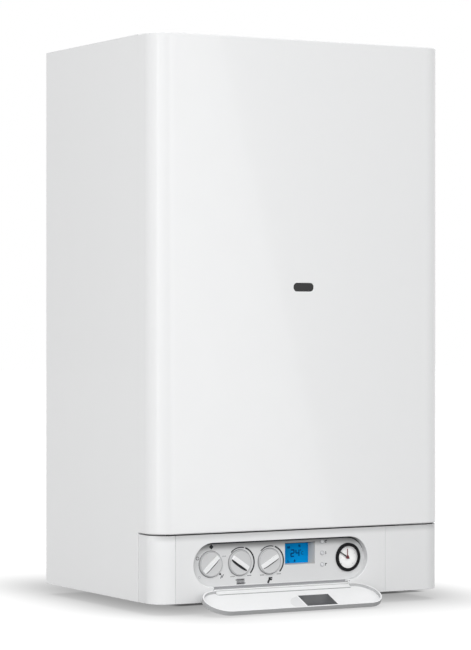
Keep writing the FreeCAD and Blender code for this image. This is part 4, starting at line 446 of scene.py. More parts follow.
darker_above("plastic_in_painted_shade", LIP_SHADE, LIP_DARK, (-295.0, -300.0))
darker_above("panel_plastic", COVER_SHADE, COVER_DARK, (-306.0, -322.0))
darker_above("cheek_plastic", COVER_SHADE, COVER_DARK, (-306.0, -322.5))
print("shades drawn between", LIP_SHADE, "and between", COVER_SHADE, "mm")

# %% Dark and coloured finishes, inks and metals
moulded("black_plastic", (0.008, 0.008, 0.009), (0.016, 0.016, 0.017), 0.4, 0.5, shine=0.08)
moulded("dark_plastic", (0.05, 0.052, 0.055), (0.09, 0.09, 0.095), 0.45, 0.6, 0.6, 1400.0, 0.00006)
moulded("blue_plastic", (0.02, 0.1, 0.42), (0.03, 0.14, 0.5), 0.35, 0.5)
moulded("red_plastic", (0.5, 0.02, 0.02), (0.58, 0.04, 0.03), 0.35, 0.5)
moulded("red_enamel", (0.42, 0.03, 0.025), (0.5, 0.05, 0.04), 0.25, 0.4, 0.7, 300.0, 0.00005)
# The dial card glows faintly, though it is no lamp: painted light that keeps the dial white under the lens.
moulded("dial_card_painted_glow", (0.93, 0.93, 0.925), (0.9, 0.9, 0.89), 0.5, 0.6,
        emission_color=(1, 1, 1, 1), emission_strength=0.13)
moulded("print_ink", (0.03, 0.031, 0.034), (0.06, 0.06, 0.065), 0.5, 0.65, shine=0.1)
moulded("pale_ink", (0.34, 0.345, 0.36), (0.42, 0.42, 0.43), 0.5, 0.65)
moulded("needle_lacquer", (0.015, 0.015, 0.015), (0.03, 0.03, 0.03), 0.4, 0.5)
moulded("red_lacquer", (0.16, 0.008, 0.014), (0.2, 0.012, 0.018), 0.35, 0.45)
moulded("ceramic", (0.8, 0.78, 0.72), (0.7, 0.68, 0.62), 0.2, 0.35)
moulded("board_lacquer", (0.02, 0.16, 0.06), (0.03, 0.22, 0.09), 0.3, 0.45, 0.8, 700.0, 0.00004)
moulded("cast_iron", (0.05, 0.052, 0.055), (0.1, 0.098, 0.095), 0.55, 0.75, 0.9, 600.0, 0.0002)
moulded("sight_black", (0.012, 0.012, 0.013), (0.02, 0.02, 0.022), 0.06, 0.12, 0.5, 200.0, 0.000005)
moulded("tinted_pane", (0.1, 0.103, 0.108), (0.13, 0.133, 0.138), 0.12, 0.2, 0.6, 120.0, 0.00001,
        transmission_weight=0.25)
metal("zinc_sheet", (0.62, 0.635, 0.65), (0.5, 0.51, 0.525), (55, 55, 40), 0.32, 0.5, 0.00003)
metal("brushed_steel", cool(0.58), cool(0.44), (40, 900, 900), 0.26, 0.42)
metal("copper_tube", (0.78, 0.42, 0.26), (0.55, 0.26, 0.15), (300, 300, 60), 0.18, 0.36)
metal("machined_brass", (0.78, 0.6, 0.28), (0.6, 0.44, 0.19), (120, 120, 1200), 0.2, 0.36)
metal("die_cast", cool(0.6), cool(0.46), (260, 260, 260), 0.42, 0.6, 0.00008)
print(len(finishes), "finishes so far")


# %% Glass and the display
def pane(name, tint, drift, mirror):
    """Thin glass: light goes straight through it, and its surface mirrors more at a slant."""
    material = finish(name, ripple, {
        "Color": (*tint, 1), "Tint": (*drift, 1), "Drift": 0.5, "Rough Low": 0.01, "Rough High": 0.06,
        "Ripple Scale": 60.0, "Depth": 0.000003, "Drift Scale": 20.0,
    })
    tree = material.node_tree
    effect = next(node for node in tree.nodes if node.type == "GROUP")
    through = add(tree, "ShaderNodeBsdfTransparent", {"Color": effect.outputs["Color"]})
    normal = effect.outputs["Normal"]
    sheen = add(tree, "ShaderNodeBsdfGlossy", {"Roughness": effect.outputs["Roughness"], "Normal": normal})
    slant = add(tree, "ShaderNodeFresnel", {"IOR": mirror, "Normal": normal})
    front = maths(tree, "SUBTRACT", 1.0, add(tree, "ShaderNodeNewGeometry").outputs["Backfacing"])
    share = maths(tree, "MULTIPLY", slant.outputs[0], front)
    both = add(tree, "ShaderNodeMixShader", {0: share, 1: through.outputs[0], 2: sheen.outputs[0]})
    tree.links.new(both.outputs[0], tree.nodes["Material Output"].inputs["Surface"])
    tree.nodes.remove(tree.nodes["Principled BSDF"])


pane("lens_glass", (0.99, 0.99, 0.99), (0.98, 0.985, 0.985), 1.14)
pane("heat_glass", (0.8, 0.86, 0.82), (0.7, 0.74, 0.7), 1.45)
moulded("lcd_glow", (0.0, 0.3, 0.74), (0.0, 0.33, 0.8), 0.5, 0.6, 0.6, 200.0, 0.000003,
        emission_color=(0.0, 0.25, 0.66, 1), emission_strength=0.07, shine=0.04)
moulded("lcd_ink", (0.002, 0.06, 0.22), (0.003, 0.075, 0.26), 0.5, 0.6, shine=0.04)
print(len(finishes), "finishes")

# %% [markdown]
# ## Edges that catch the light
# A drawn solid has knife edges, while pressed sheet and moulded plastic are rounded where they turn. Each piece is
# copied, its loose triangles are merged into whole faces, and a bevel rounds its edges. The copy stands for the
# solid, which stays where it is for the joints and the collisions.

# %% Copy a piece and round its edges
WELD_METRES, MERGE_DEGREES, SHARP_DEGREES, BEVEL_SEGMENTS = 2e-6, 0.3, 40, 3
KNOB_NAMES, BUTTON_NAMES = "mode_knob heating_knob hot_water_knob", "reset_button info_button service_button"
# The domed pieces keep their triangles, because merging their nearly flat rings would fold the bevel over.
MERGE_ANGLE = dict.fromkeys(f"{KNOB_NAMES} {BUTTON_NAMES}".split(), 0)
MERGE_ANGLE["filling_tap"] = 2.0


def dress(name, look, bevel):
    """A bevelled, smoothly shaded copy of a node, in a finish. Triangles that lie within the merge angle are joined."""
    mesh = nodes[name].data.copy()
    mesh.materials.clear()
    mesh.materials.append(finishes[look])
    shell = bmesh.new()
    shell.from_mesh(mesh)
    bmesh.ops.remove_doubles(shell, verts=shell.verts, dist=WELD_METRES)
    merge = MERGE_ANGLE.get(name, MERGE_DEGREES)
    if merge:
        bmesh.ops.dissolve_limit(
            shell, angle_limit=math.radians(merge), verts=shell.verts, edges=shell.edges,
            use_dissolve_boundaries=False,
        )
    for face in shell.faces:
        face.material_index = 0
    shell.to_mesh(mesh)
    shell.free()
    piece = place(name + "_dressed", mesh)
    if bevel:
        rounding = piece.modifiers.new("edges", "BEVEL")
        rounding.width = bevel * MM
        rounding.segments = BEVEL_SEGMENTS
        rounding.limit_method = "ANGLE"
        rounding.angle_limit = math.radians(SHARP_DEGREES)
        rounding.use_clamp_overlap = True
        mesh = plain_mesh(piece)
        piece.modifiers.clear()
        piece.data = mesh
    smooth(mesh, SHARP_DEGREES)
    flat_faces = piece.modifiers.new("flat_faces", "WEIGHTED_NORMAL")
    flat_faces.keep_sharp = True
    piece.data = plain_mesh(piece)
    piece.modifiers.clear()
    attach(piece, body_of[name])
    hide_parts(name)
    return piece


# %% Dress every piece
# A row has a finish, the width of the bevel and the pieces that get both.
DRESSING = [
    ("white_enamel", 0.35, "front_cover left_side_panel right_side_panel top_panel"),
    ("panel_plastic", 0.35, "control_panel right_cheek"),
    ("cheek_plastic", 0.35, "left_cheek"),
    ("flap_plastic", 0.5, "flap"),
    ("knob_painted_shade", 0.4, KNOB_NAMES),
    ("button_plastic", 0.35, BUTTON_NAMES),
    ("black_plastic", 0.3, "gauge_bezel gauge_case"),
    ("dial_card_painted_glow", 0.1, "gauge_dial"),
    ("needle_lacquer", 0.06, "gauge_needle"),
    ("red_lacquer", 0.08, "gauge_set_hand"),
    ("lens_glass", 0.15, "gauge_lens"),
    ("tinted_pane", 0.12, "flap_window"),
    ("sight_black", 0.25, "sight_window"),
    ("lcd_glow", 0.2, "display_screen"),
    ("zinc_sheet", 0.25, "rear_frame pipe_bracket draught_hood combustion_chamber chamber_front"),
    ("brushed_steel", 0.2, "flap_hinge_pin cover_studs flue_collar burner_blades burner_frame pump_rotor"),
    ("brushed_steel", 0.2, "plate_exchanger"),
    ("copper_tube", 0, "heat_exchanger gas_pipe flow_pipe return_riser cold_water_pipe"),
    ("machined_brass", 0.4, "diverter_valve safety_valve air_vent filling_tap"),
    ("die_cast", 0.6, "gas_manifold gas_valve"),
    ("cast_iron", 1.2, "pump_housing"),
    ("dark_plastic", 0.6, "pump_motor valve_actuator gas_valve_coils control_box knob_encoders"),
    ("blue_plastic", 0.6, "filling_tap_knob"),
    ("red_plastic", 0.6, "safety_valve_cap"),
    ("red_enamel", 0.5, "expansion_vessel"),
    ("ceramic", 0.3, "electrodes"),
    ("heat_glass", 0.3, "sight_glass"),
    ("board_lacquer", 0.2, "control_board"),
]
dressed = {}
for look, bevel, names in DRESSING:
    for name in names.split():
        dressed[name] = dress(name, look, bevel)
print(len(dressed), "pieces dressed,", sum(len(piece.data.polygons) for piece in dressed.values()), "faces")

# %% [markdown]
# ## Second finishes
# Some pieces are moulded in one colour, but parts of them get a darker second finish of painted shade: the floor
# of the recess, the walls of the display well, and the rim and the hinge barrel of the flap. The knobs themselves are
# painted in shade, and their grips get the lit white as a second finish.

# %% Choose faces by their place
def second_finish(name, look, chosen):
    """Gives another finish to the faces that a test chooses by their centre, in millimetres, and their normal."""
    mesh = dressed[name].data
    mesh.materials.append(finishes[look])
    slot = len(mesh.materials) - 1
    count = 0
    for face in mesh.polygons:
        spot = Vector((face.center.x, face.center.y, face.center.z - BASE)) / MM
        if chosen(spot, face.normal):
            face.material_index = slot
            count += 1
    return count


HINGE_Y, HINGE_Z, OPEN = -320.44, 14.2, math.radians(113)
PANEL_FRONT, PANEL_FLOOR, DISC_FRONT = -323.0, -314.0, -316.8
PLATE_NORMAL = Vector((0, math.cos(OPEN), math.sin(OPEN)))
RECESS_FOOT, BEHIND_FLOOR = 18.5, PANEL_FLOOR + 0.5
WELL_X, WELL_Z = (-22.8, 23.6), (41.5, 70.1)
BARREL_RADIUS, BARREL_UPPER = 2.7, 1.3
STEEP = 0.5


def in_the_recess(spot, normal):
    return PANEL_FRONT + 0.6 < spot.y < BEHIND_FLOOR and spot.z > RECESS_FOOT


def in_the_well(spot, normal):
    within = WELL_X[0] < spot.x < WELL_X[1] and WELL_Z[0] < spot.z < WELL_Z[1]
    return within and spot.y > BEHIND_FLOOR and abs(normal.y) < STEEP


def on_the_rim(spot, normal):
    return abs(normal.dot(PLATE_NORMAL)) < STEEP


def on_the_barrel(spot, normal):
    return math.hypot(spot.y - HINGE_Y, spot.z - HINGE_Z) < BARREL_RADIUS and spot.z > HINGE_Z + BARREL_UPPER


def on_the_grip(spot, normal):
    return spot.y < DISC_FRONT - 0.25


# The recess, the walls of the well, the flap rim and the hinge barrel get painted shade, and the knob grips get the lit
# white.
in_recess = second_finish("control_panel", "plastic_in_painted_shade", in_the_recess)
in_well = second_finish("control_panel", "well_painted_shade", in_the_well)
on_rim = second_finish("flap", "flap_rim_painted_shade", on_the_rim)
on_barrel = second_finish("flap", "hinge_painted_shade", on_the_barrel)
on_grips = [second_finish(name, "grip_plastic", on_the_grip) for name in KNOB_NAMES.split()]
print("recess", in_recess, "well", in_well, "rim", on_rim, "hinge barrel", on_barrel, "grips", on_grips)

# %% [markdown]
# ## Flat marks
# Printing lies on the plastic as a film a few hundredths of a millimetre thick. Every mark is a small flat prism in
# the X and Z of the panel, so one function turns outlines into closed shapes, and arcs, bars and digits only have to
# give their outline.

# %% Outlines
def bar(x, z, length, width, angle=0.0):
    """A rectangle about a centre, turned counter-clockwise."""
    turn = math.radians(angle)
    along = (math.cos(turn) * length / 2, math.sin(turn) * length / 2)
    across = (-math.sin(turn) * width / 2, math.cos(turn) * width / 2)
    return [(x + i * along[0] + j * across[0], z + i * along[1] + j * across[1]) for i, j in SQUARE]


def arc(x, z, radius, width, start, end, steps=40):
    """Short quads along an arc, counter-clockwise from start to end in degrees."""
    quads = []
    inner, outer = radius - width / 2, radius + width / 2
    for step in range(steps):
        first = math.radians(start + (end - start) * step / steps)
        last = math.radians(start + (end - start) * (step + 1) / steps)
        corners = ((inner, first), (outer, first), (outer, last), (inner, last))
        quads.append([(x + reach * math.cos(turn), z + reach * math.sin(turn)) for reach, turn in corners])
    return quads


def circle(x, z, radius, width, steps):
    """An arc all round a centre."""
    return arc(x, z, radius, width, 0, 360, steps)


print("a circle of 24 steps has", len(circle(0, 0, 1, 0.1, 24)), "quads")


# %% Films made from the outlines
def films(name, pairs, look, body):
    """One closed mesh of thin prisms. Each is given by two rings of points in metres."""
    shape = bmesh.new()
    for pair in pairs:
        first, last = [[shape.verts.new(point) for point in ring] for ring in pair]
        shape.faces.new(first)
        shape.faces.new(list(reversed(last)))
        for index in range(len(first)):
            following = (index + 1) % len(first)
            shape.faces.new((first[following], first[index], last[index], last[following]))
    bmesh.ops.recalc_face_normals(shape, faces=shape.faces)
    mesh = new_mesh(name, shape)
    mesh.materials.append(finishes[look])
    return piece_on(name, mesh, body)


def marks(name, outlines, face, look, body, film=0.06):
    """Films with their back on a plane of constant Y, all in millimetres."""
    pairs = [
        [[(x * MM, level * MM, z * MM + BASE) for x, z in outline] for level in (face - film, face)]
        for outline in outlines
    ]
    return films(name, pairs, look, body)


# Places along X of the knobs, the gauge, the buttons and the signs beside them, and the height of the dials.
KNOBS = (-133.8, -90.6, -46.4)
GAUGE_X, BUTTON_X, SIGN_X = 74.1, 34.3, 40.0
DIAL_LEVEL = 48.0
print("marks lie on Y =", PANEL_FLOOR, "mm")

# %% [markdown]
# ## Scales and signs round the knobs
# The two temperature knobs have a scale that grows from a thin pale line to a thick dark one. Plain signs say what
# each knob is for: a flame, a radiator and a tap. A pale line of painted shade runs round the edge of each knob.

# %% Print the scales
SCALE_SHIFT, KNOB_SHADE_RING = 1.5, 16.75
DOTS_LEFT, DOTS_RIGHT, DOT_STEP = (-14.6, 30.4), (10.4, 30.8), 1.6
thin, bold = [], []
for knob in KNOBS[1:]:
    middle = knob + SCALE_SHIFT
    thin += arc(middle, DIAL_LEVEL, 18.6, 0.8, 145, 225)
    bold += arc(middle, DIAL_LEVEL, 19.8, 1.3, 76, 136)
    bold += arc(middle, DIAL_LEVEL, 20.0, 2.0, -45, 70)
    for shift, level in (DOTS_LEFT, DOTS_RIGHT):
        bold += [bar(middle + shift + DOT_STEP * step, level, 0.9, 1.1) for step in range(4)]
# Round each knob a pale ring is painted shade at its edge.
for knob in KNOBS:
    thin += circle(knob, DIAL_LEVEL, KNOB_SHADE_RING, 0.6, 72)
mode = KNOBS[0]


def round_the_mode_knob(angle, radius):
    """A point at an angle, in degrees, and a distance from the mode knob."""
    return mode + radius * math.cos(math.radians(angle)), DIAL_LEVEL + radius * math.sin(math.radians(angle))


bold += circle(*round_the_mode_knob(157, 20.7), 2.0, 0.6, 24)
thin += circle(*round_the_mode_knob(225, 23.0), 1.5, 0.4, 24)
dash_x, dash_z = round_the_mode_knob(25, 22.0)
thin += [bar(dash_x - 2.2 + 1.5 * step, dash_z, 1.0, 1.4) for step in range(4)]
flame_x, flame_z = mode + 1.1, 70.2
flame = ((0, -3.5), (3.2, -0.2), (0, 3.5), (-3.2, -0.2))
bold.append([(flame_x + x, flame_z + z) for x, z in flame])
bold += circle(mode + 14.2, DIAL_LEVEL - 13.5, 0.7, 1.4, 16)
bold += [bar(mode + 15.8, DIAL_LEVEL - 17.0, 4.8, 0.9, 60), bar(mode + 18.0, DIAL_LEVEL - 16.2, 4.8, 0.9, 60)]
print(len(thin), "pale marks", len(bold), "dark marks so far")

# %% Print the radiator, the tap and the signs of the buttons
radiator = KNOBS[1] + 1.2
for step in range(6):
    thin.append(bar(radiator - 5.0 + 2.0 * step, 23.5, 1.6, 8.0, -2))
    bold.append(bar(radiator - 5.0 + 2.0 * step, 23.5, 0.6, 6.0, -2))
bold += [bar(radiator - 1.0, 25.8, 12.5, 1.0), bar(radiator + 1.0, 21.3, 12.5, 1.0)]
tap = KNOBS[2] + 0.9
bold += [
    bar(tap + 1.0, 26.2, 5.6, 1.7), bar(tap + 2.4, 23.9, 1.9, 2.0), bar(tap + 1.0, 23.9, 3.0, 1.4),
    bar(tap - 1.2, 23.0, 7.6, 2.8, 62),
]
buttons = (70.3, 55.1, 39.9)
for level in buttons:
    thin += circle(BUTTON_X, level, 2.75, 0.5, 24)
bold += arc(SIGN_X, buttons[0], 1.3, 0.9, 20, 320, 18) + [bar(SIGN_X + 1.2, buttons[0] + 1.2, 1.6, 0.9, 90)]
bold += [bar(SIGN_X, buttons[1] - 0.6, 1.0, 2.2), bar(SIGN_X, buttons[1] + 1.4, 1.1, 1.0)]
bold += [bar(SIGN_X + 0.4, buttons[2] + 1.2, 2.6, 1.0), bar(SIGN_X - 0.4, buttons[2], 1.1, 3.4)]
# A dark bar along the top edge of the display well is painted shade under that edge.
bold.append(bar(sum(WELL_X) / 2, WELL_Z[1], 45.8, 0.8))
marks("panel_print", bold, PANEL_FLOOR, "print_ink", "boiler")
marks("panel_print_pale", thin, PANEL_FLOOR, "pale_ink", "boiler")
print(len(bold), "dark marks", len(thin), "pale marks")

# %% [markdown]
# ## Painted shade at the recess and the hinge
# Two narrow grey lines are thin dark films of painted shade. One lies on the floor of the recess just under its upper
# lip, and one on the face that closes the slot behind the hinge of the flap: the slot is real, its darkness is painted
# shade. The line under the lip gets narrower along the two arcs. A small dot marks each end of the hinge.

# %% Painted shade under the upper lip and behind the hinge
LIP_ENDS, LIP_LEVEL, LIP_RADIUS = (-134.8, 70.9), 47.5, 28.5
SHADE_LINE_STEP, SHADE_LINE_SPAN, SHADE_LINE_WIDE, SHADE_LINE_NARROW = 5, 75, 2.1, 0.15
lip_shade_line = [bar(sum(LIP_ENDS) / 2, LIP_LEVEL + LIP_RADIUS - 1.2, LIP_ENDS[1] - LIP_ENDS[0], 2.2)]
for end, quarter in ((LIP_ENDS[0], (90, 165)), (LIP_ENDS[1], (15, 90))):
    for start in range(*quarter, SHADE_LINE_STEP):
        away = abs(start + SHADE_LINE_STEP / 2 - 90) / SHADE_LINE_SPAN
        wide = SHADE_LINE_WIDE * (1 - away) + SHADE_LINE_NARROW
        lip_shade_line += arc(end, LIP_LEVEL, LIP_RADIUS - 0.2 - wide / 2, wide, start, start + SHADE_LINE_STEP, 1)
marks("recess_lip_gap", lip_shade_line, PANEL_FLOOR, "print_ink", "boiler", film=0.04)
HINGE_WALL, HINGE_MIDDLE = -317.0, -31.8
# The slot behind the hinge is real. This film on its closing face is painted shade.
marks("hinge_gap", [bar(HINGE_MIDDLE, 17.7, 201.0, 2.6)], HINGE_WALL, "pale_ink", "boiler", film=0.04)
hinge_ends = circle(-134.4, 15.4, 0.35, 0.7, 16) + circle(70.9, 17.6, 0.35, 0.7, 16)
marks("hinge_ends", hinge_ends, PANEL_FRONT, "pale_ink", "boiler", film=0.02)
print(len(lip_shade_line), "lengths of gap under the lip")

# %% [markdown]
# ## Painted shade on and round the knobs
# A dark film on each disc along the lower side of its grip bar is the bar's painted shadow. On the heating knob that
# shadow is wider, so its line swells in the middle. A ring of pale ink, painted shade, follows the edge of the disc.
# These lie on the discs and turn with the knobs. A dark ring of painted shade in the gap round each disc lies on the
# panel and stays.

# %% Painted grip shadows, shade rings and gap shades of the three knobs
GRIP_ANGLES = (44.0, -34.0, 30.0)
GRIP_HALF, GRIP_REACH = 2.8, 13.6
SWELL, SWELL_HEATING, SWELL_STEPS, SWELL_POWER = 1.6, 3.0, 12, 0.7
DISC_SHADE_RING, DISC_GAP_SHADE = 15.55, 17.1
for name, angle, knob in zip(KNOB_NAMES.split(), GRIP_ANGLES, KNOBS):
    turn = math.radians(angle)
    along, aside = (math.cos(turn), math.sin(turn)), (math.sin(turn), -math.cos(turn))
    swell = SWELL_HEATING if name == "heating_knob" else SWELL
    grip_shadow = [(-GRIP_REACH, GRIP_HALF - 0.1), (GRIP_REACH, GRIP_HALF - 0.1)]
    for step in range(SWELL_STEPS + 1):
        bow = step * math.pi / SWELL_STEPS
        grip_shadow.append((GRIP_REACH * math.cos(bow), GRIP_HALF + 0.25 + swell * math.sin(bow) ** SWELL_POWER))
    outline = [(knob + t * along[0] + d * aside[0], DIAL_LEVEL + t * along[1] + d * aside[1]) for t, d in grip_shadow]
    gap, ring = circle(knob, DIAL_LEVEL, DISC_GAP_SHADE, 0.55, 72), circle(knob, DIAL_LEVEL, DISC_SHADE_RING, 0.6, 72)
    marks(name + "_gap", gap, PANEL_FLOOR, "print_ink", "boiler", film=0.03)
    marks(name + "_foot", [outline], DISC_FRONT, "print_ink", name, film=0.04)
    marks(name + "_ring", ring, DISC_FRONT, "pale_ink", name, film=0.03)
print("lines on", KNOB_NAMES)

# %% [markdown]
# ## Lines on the open flap
# Inside the flap a low step runs along the hinge, with a line of painted shade along it, and a greyer patch of painted
# shade lies on the ramp beside the little window.
# Both are films on the inner side. The flap is tilted, so each outline is given along the flap and away from its
# hinge, and turned into place. The film on the ramp climbs with it.

# %% Step line and rubbed patch of the flap
PLATE_LEVEL, RAMP_FOOT, RAMP_SLOPE = -0.56, -41.0, 2.06 / 17.0


def on_the_plate(name, outline, look, slope=0.0, film=0.04):
    """A film on the inner side of the flap. The outline's points are along the hinge and away from it."""
    pair = []
    for lift in (0.0, film):
        ring = []
        for x, away in outline:
            height = PLATE_LEVEL + lift + slope * (x - RAMP_FOOT)
            y = HINGE_Y + height * math.cos(OPEN) - away * math.sin(OPEN)
            z = HINGE_Z + height * math.sin(OPEN) + away * math.cos(OPEN)
            ring.append((x * MM, y * MM, z * MM + BASE))
        pair.append(ring)
    return films(name, [pair], look, "flap")


# The line along the step inside the flap is painted shade.
on_the_plate("flap_step_line", bar(HINGE_MIDDLE, 11.45, 199.0, 0.8), "hinge_painted_shade")
# The patch on the ramp beside the window is painted shade.
ramp_shade = [(-24.8, 29.0), (-24.2, 55.0), (-37.3, 56.0), (-40.5, 48.0), (-40.9, 42.4), (-38.0, 36.5), (-33.6, 32.0)]
on_the_plate("flap_rubbed_patch", ramp_shade, "plastic_in_painted_shade", RAMP_SLOPE)
print("flap lines placed")

# %% [markdown]
# ## The display
# The display is a blue glass at the bottom of a well. Its figures are made of straight segments, the way a liquid
# crystal shows them, with a few small signs in the corners.

# %% Segments of the figures
SEGMENTS = {"2": "abged", "4": "fgbc"}


def figure(digit, x, z, wide, tall, stroke):
    """Seven-segment outlines of one digit about its centre."""
    half_w, half_t = wide / 2, tall / 2
    spots = {
        "a": (x, z + half_t, wide, 0), "g": (x, z, wide, 0), "d": (x, z - half_t, wide, 0),
        "f": (x - half_w, z + half_t / 2, half_t, 90), "b": (x + half_w, z + half_t / 2, half_t, 90),
        "e": (x - half_w, z - half_t / 2, half_t, 90), "c": (x + half_w, z - half_t / 2, half_t, 90),
    }
    chosen = [spots[key] for key in SEGMENTS[digit]]
    return [bar(across, up, length, stroke, angle) for across, up, length, angle in chosen]


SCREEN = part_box("display_screen")[0].y / MM
FIGURE = (54.9, 4.6, 8.6, 1.5)
crystal = figure("2", -0.3, *FIGURE) + figure("4", 7.3, *FIGURE)
crystal += circle(12.0, 58.6, 0.8, 0.5, 16) + arc(15.0, 54.6, 1.8, 0.7, 50, 310, 16)
crystal += [bar(-7.6 + 1.4 * step, 62.8, 0.8, 3.0) for step in range(3)] + [bar(-6.2, 62.8, 4.2, 0.6)]
crystal += [bar(10.0, 65.2, 3.6, 0.9), bar(9.8, 63.8, 1.2, 2.6), bar(11.4, 63.2, 0.9, 1.6)]
crystal += [bar(-7.4, 44.8, 0.9, 3.6), bar(-6.0, 43.4, 3.0, 0.8)]
crystal += [[(2.2, 43.2), (3.8, 43.2), (4.4, 44.8), (3.0, 47.0), (1.6, 44.8)]]
marks("display_figures", crystal, SCREEN, "lcd_ink", "boiler", film=0.12)
print(len(crystal), "segments on Y =", round(SCREEN, 2))

# %% [markdown]
# ## Marks round the pressure gauge
# A gauge scale is the same small stroke repeated round a circle, so Geometry Nodes make it: points are set out by
# angle, one stroke is put on each, and the result becomes a plain mesh. The drawn needle is too slim to read from
# afar, so a slightly wider blade lies on it.

# %% A tree for strokes round a circle
INT, MATERIAL, GEOMETRY, OBJECT = "NodeSocketInt", "NodeSocketMaterial", "NodeSocketGeometry", "NodeSocketObject"


def end_with_copies(tree, given, result, inputs):
    """Ends a tree: copies on points become real geometry, in the finish that the tree is given."""
    copies = add(tree, "GeometryNodeInstanceOnPoints", inputs)
    solid = add(tree, "GeometryNodeRealizeInstances", {"Geometry": copies.outputs[0]})
    coloured = add(tree, "GeometryNodeSetMaterial", {"Geometry": solid.outputs[0], "Material": given["Finish"]})
    tree.links.new(coloured.outputs[0], result["Geometry"])


strokes, given, result = new_group("GeometryNodeTree", "strokes_round_a_dial", {
    "Count": INT, "Radius": FLOAT, "First Angle": FLOAT, "Step Angle": FLOAT, "Size": VECTOR, "Centre": VECTOR,
    "Finish": MATERIAL,
}, {"Geometry": GEOMETRY})
index = add(strokes, "GeometryNodeInputIndex").outputs[0]
turned = maths(strokes, "MULTIPLY_ADD", index, given["Step Angle"], given["First Angle"])
direction = add(strokes, "ShaderNodeCombineXYZ", {
    "X": maths(strokes, "COSINE", turned), "Z": maths(strokes, "SINE", turned),
}).outputs[0]
reach = add(strokes, "ShaderNodeVectorMath", {0: direction, "Scale": given["Radius"]}, operation="SCALE").outputs[0]
spot = add(strokes, "ShaderNodeVectorMath", {0: reach, 1: given["Centre"]}, operation="ADD").outputs[0]
points = add(strokes, "GeometryNodePoints", {"Count": given["Count"], "Position": spot}).outputs[0]
stroke = add(strokes, "GeometryNodeMeshCube", {"Size": given["Size"]}).outputs[0]
tilt = add(strokes, "ShaderNodeCombineXYZ", {"Y": maths(strokes, "MULTIPLY", turned, -1.0)}).outputs[0]
end_with_copies(strokes, given, result, {"Points": points, "Instance": stroke, "Rotation": tilt})
print("tree", strokes.name)


# %% Run a tree and keep its mesh
def grow(name, tree, base=None, **values):
    """Runs a Geometry Nodes tree once and returns its result as a plain mesh."""
    carrier = place(name, base or bpy.data.meshes.new(name))
    modifier = carrier.modifiers.new(name, "NODES")
    modifier.node_group = tree
    for item in tree.interface.items_tree:
        if item.in_out == "INPUT" and item.name in values:
            modifier[item.identifier] = values[item.name]
    mesh = plain_mesh(carrier)
    bpy.data.objects.remove(carrier)
    return mesh


def joined(name, meshes, body):
    """Several plain meshes as one piece on a body."""
    whole = bmesh.new()
    for mesh in meshes:
        whole.from_mesh(mesh)
    mesh = new_mesh(name, whole)
    for material in meshes[0].materials:
        mesh.materials.append(material)
    return piece_on(name, mesh, body)


print("trees can run")

# %% Strokes on the dial and the blade of the needle
HALF_STROKE = 0.00005
GAUGE = Vector((GAUGE_X * MM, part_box("gauge_dial")[0].y - HALF_STROKE, DIAL_LEVEL * MM + BASE))
scale = grow("scale", strokes, **{
    "Count": 5, "Radius": 12.4 * MM, "First Angle": math.radians(-45), "Step Angle": math.radians(67.5),
    "Size": (1.3 * MM, 0.1 * MM, 0.6 * MM), "Centre": GAUGE, "Finish": finishes["pale_ink"],
})
joined("gauge_scale", [scale], "boiler")
NEEDLE_ANGLE, NEEDLE_LENGTH, NEEDLE_MIDDLE, NEEDLE_WIDTH = 148.0, 14.2, 7.0, 1.5
NEEDLE_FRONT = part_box("gauge_needle")[0].y / MM
needle_turn = math.radians(NEEDLE_ANGLE)
blade_x = GAUGE_X + NEEDLE_MIDDLE * math.cos(needle_turn)
blade_z = DIAL_LEVEL + NEEDLE_MIDDLE * math.sin(needle_turn)
blade = bar(blade_x, blade_z, NEEDLE_LENGTH, NEEDLE_WIDTH, NEEDLE_ANGLE)
marks("needle_blade", [blade], NEEDLE_FRONT, "needle_lacquer", "needle", film=0.02)
print("gauge scale at", tuple(round(value, 4) for value in GAUGE))

# %% [markdown]
# ## Screws on the top panel
# The casing screws have a rounded head with a cross recess. One head is modelled from a given profile, and Geometry
# Nodes put it on the four places of the drawn screws.

# %% One screw
CROSS = (4.4 * MM, 0.9 * MM, 2.4 * MM)
HEAD_RADIUS, HEAD_HEIGHT = 4 * MM, 2.2 * MM


def in_order(mesh):
    """The same mesh with a fixed order of points and faces, because a boolean cut leaves them in any order."""
    order = sorted(range(len(mesh.vertices)), key=lambda index: tuple(mesh.vertices[index].co))
    place_of = {old: new for new, old in enumerate(order)}
    faces = []
    for face in mesh.polygons:
        around = [place_of[index] for index in face.vertices]
        first = around.index(min(around))
        faces.append(around[first:] + around[:first])
    fixed = bpy.data.meshes.new(mesh.name)
    fixed.from_pydata([mesh.vertices[index].co for index in order], [], sorted(faces))
    return fixed


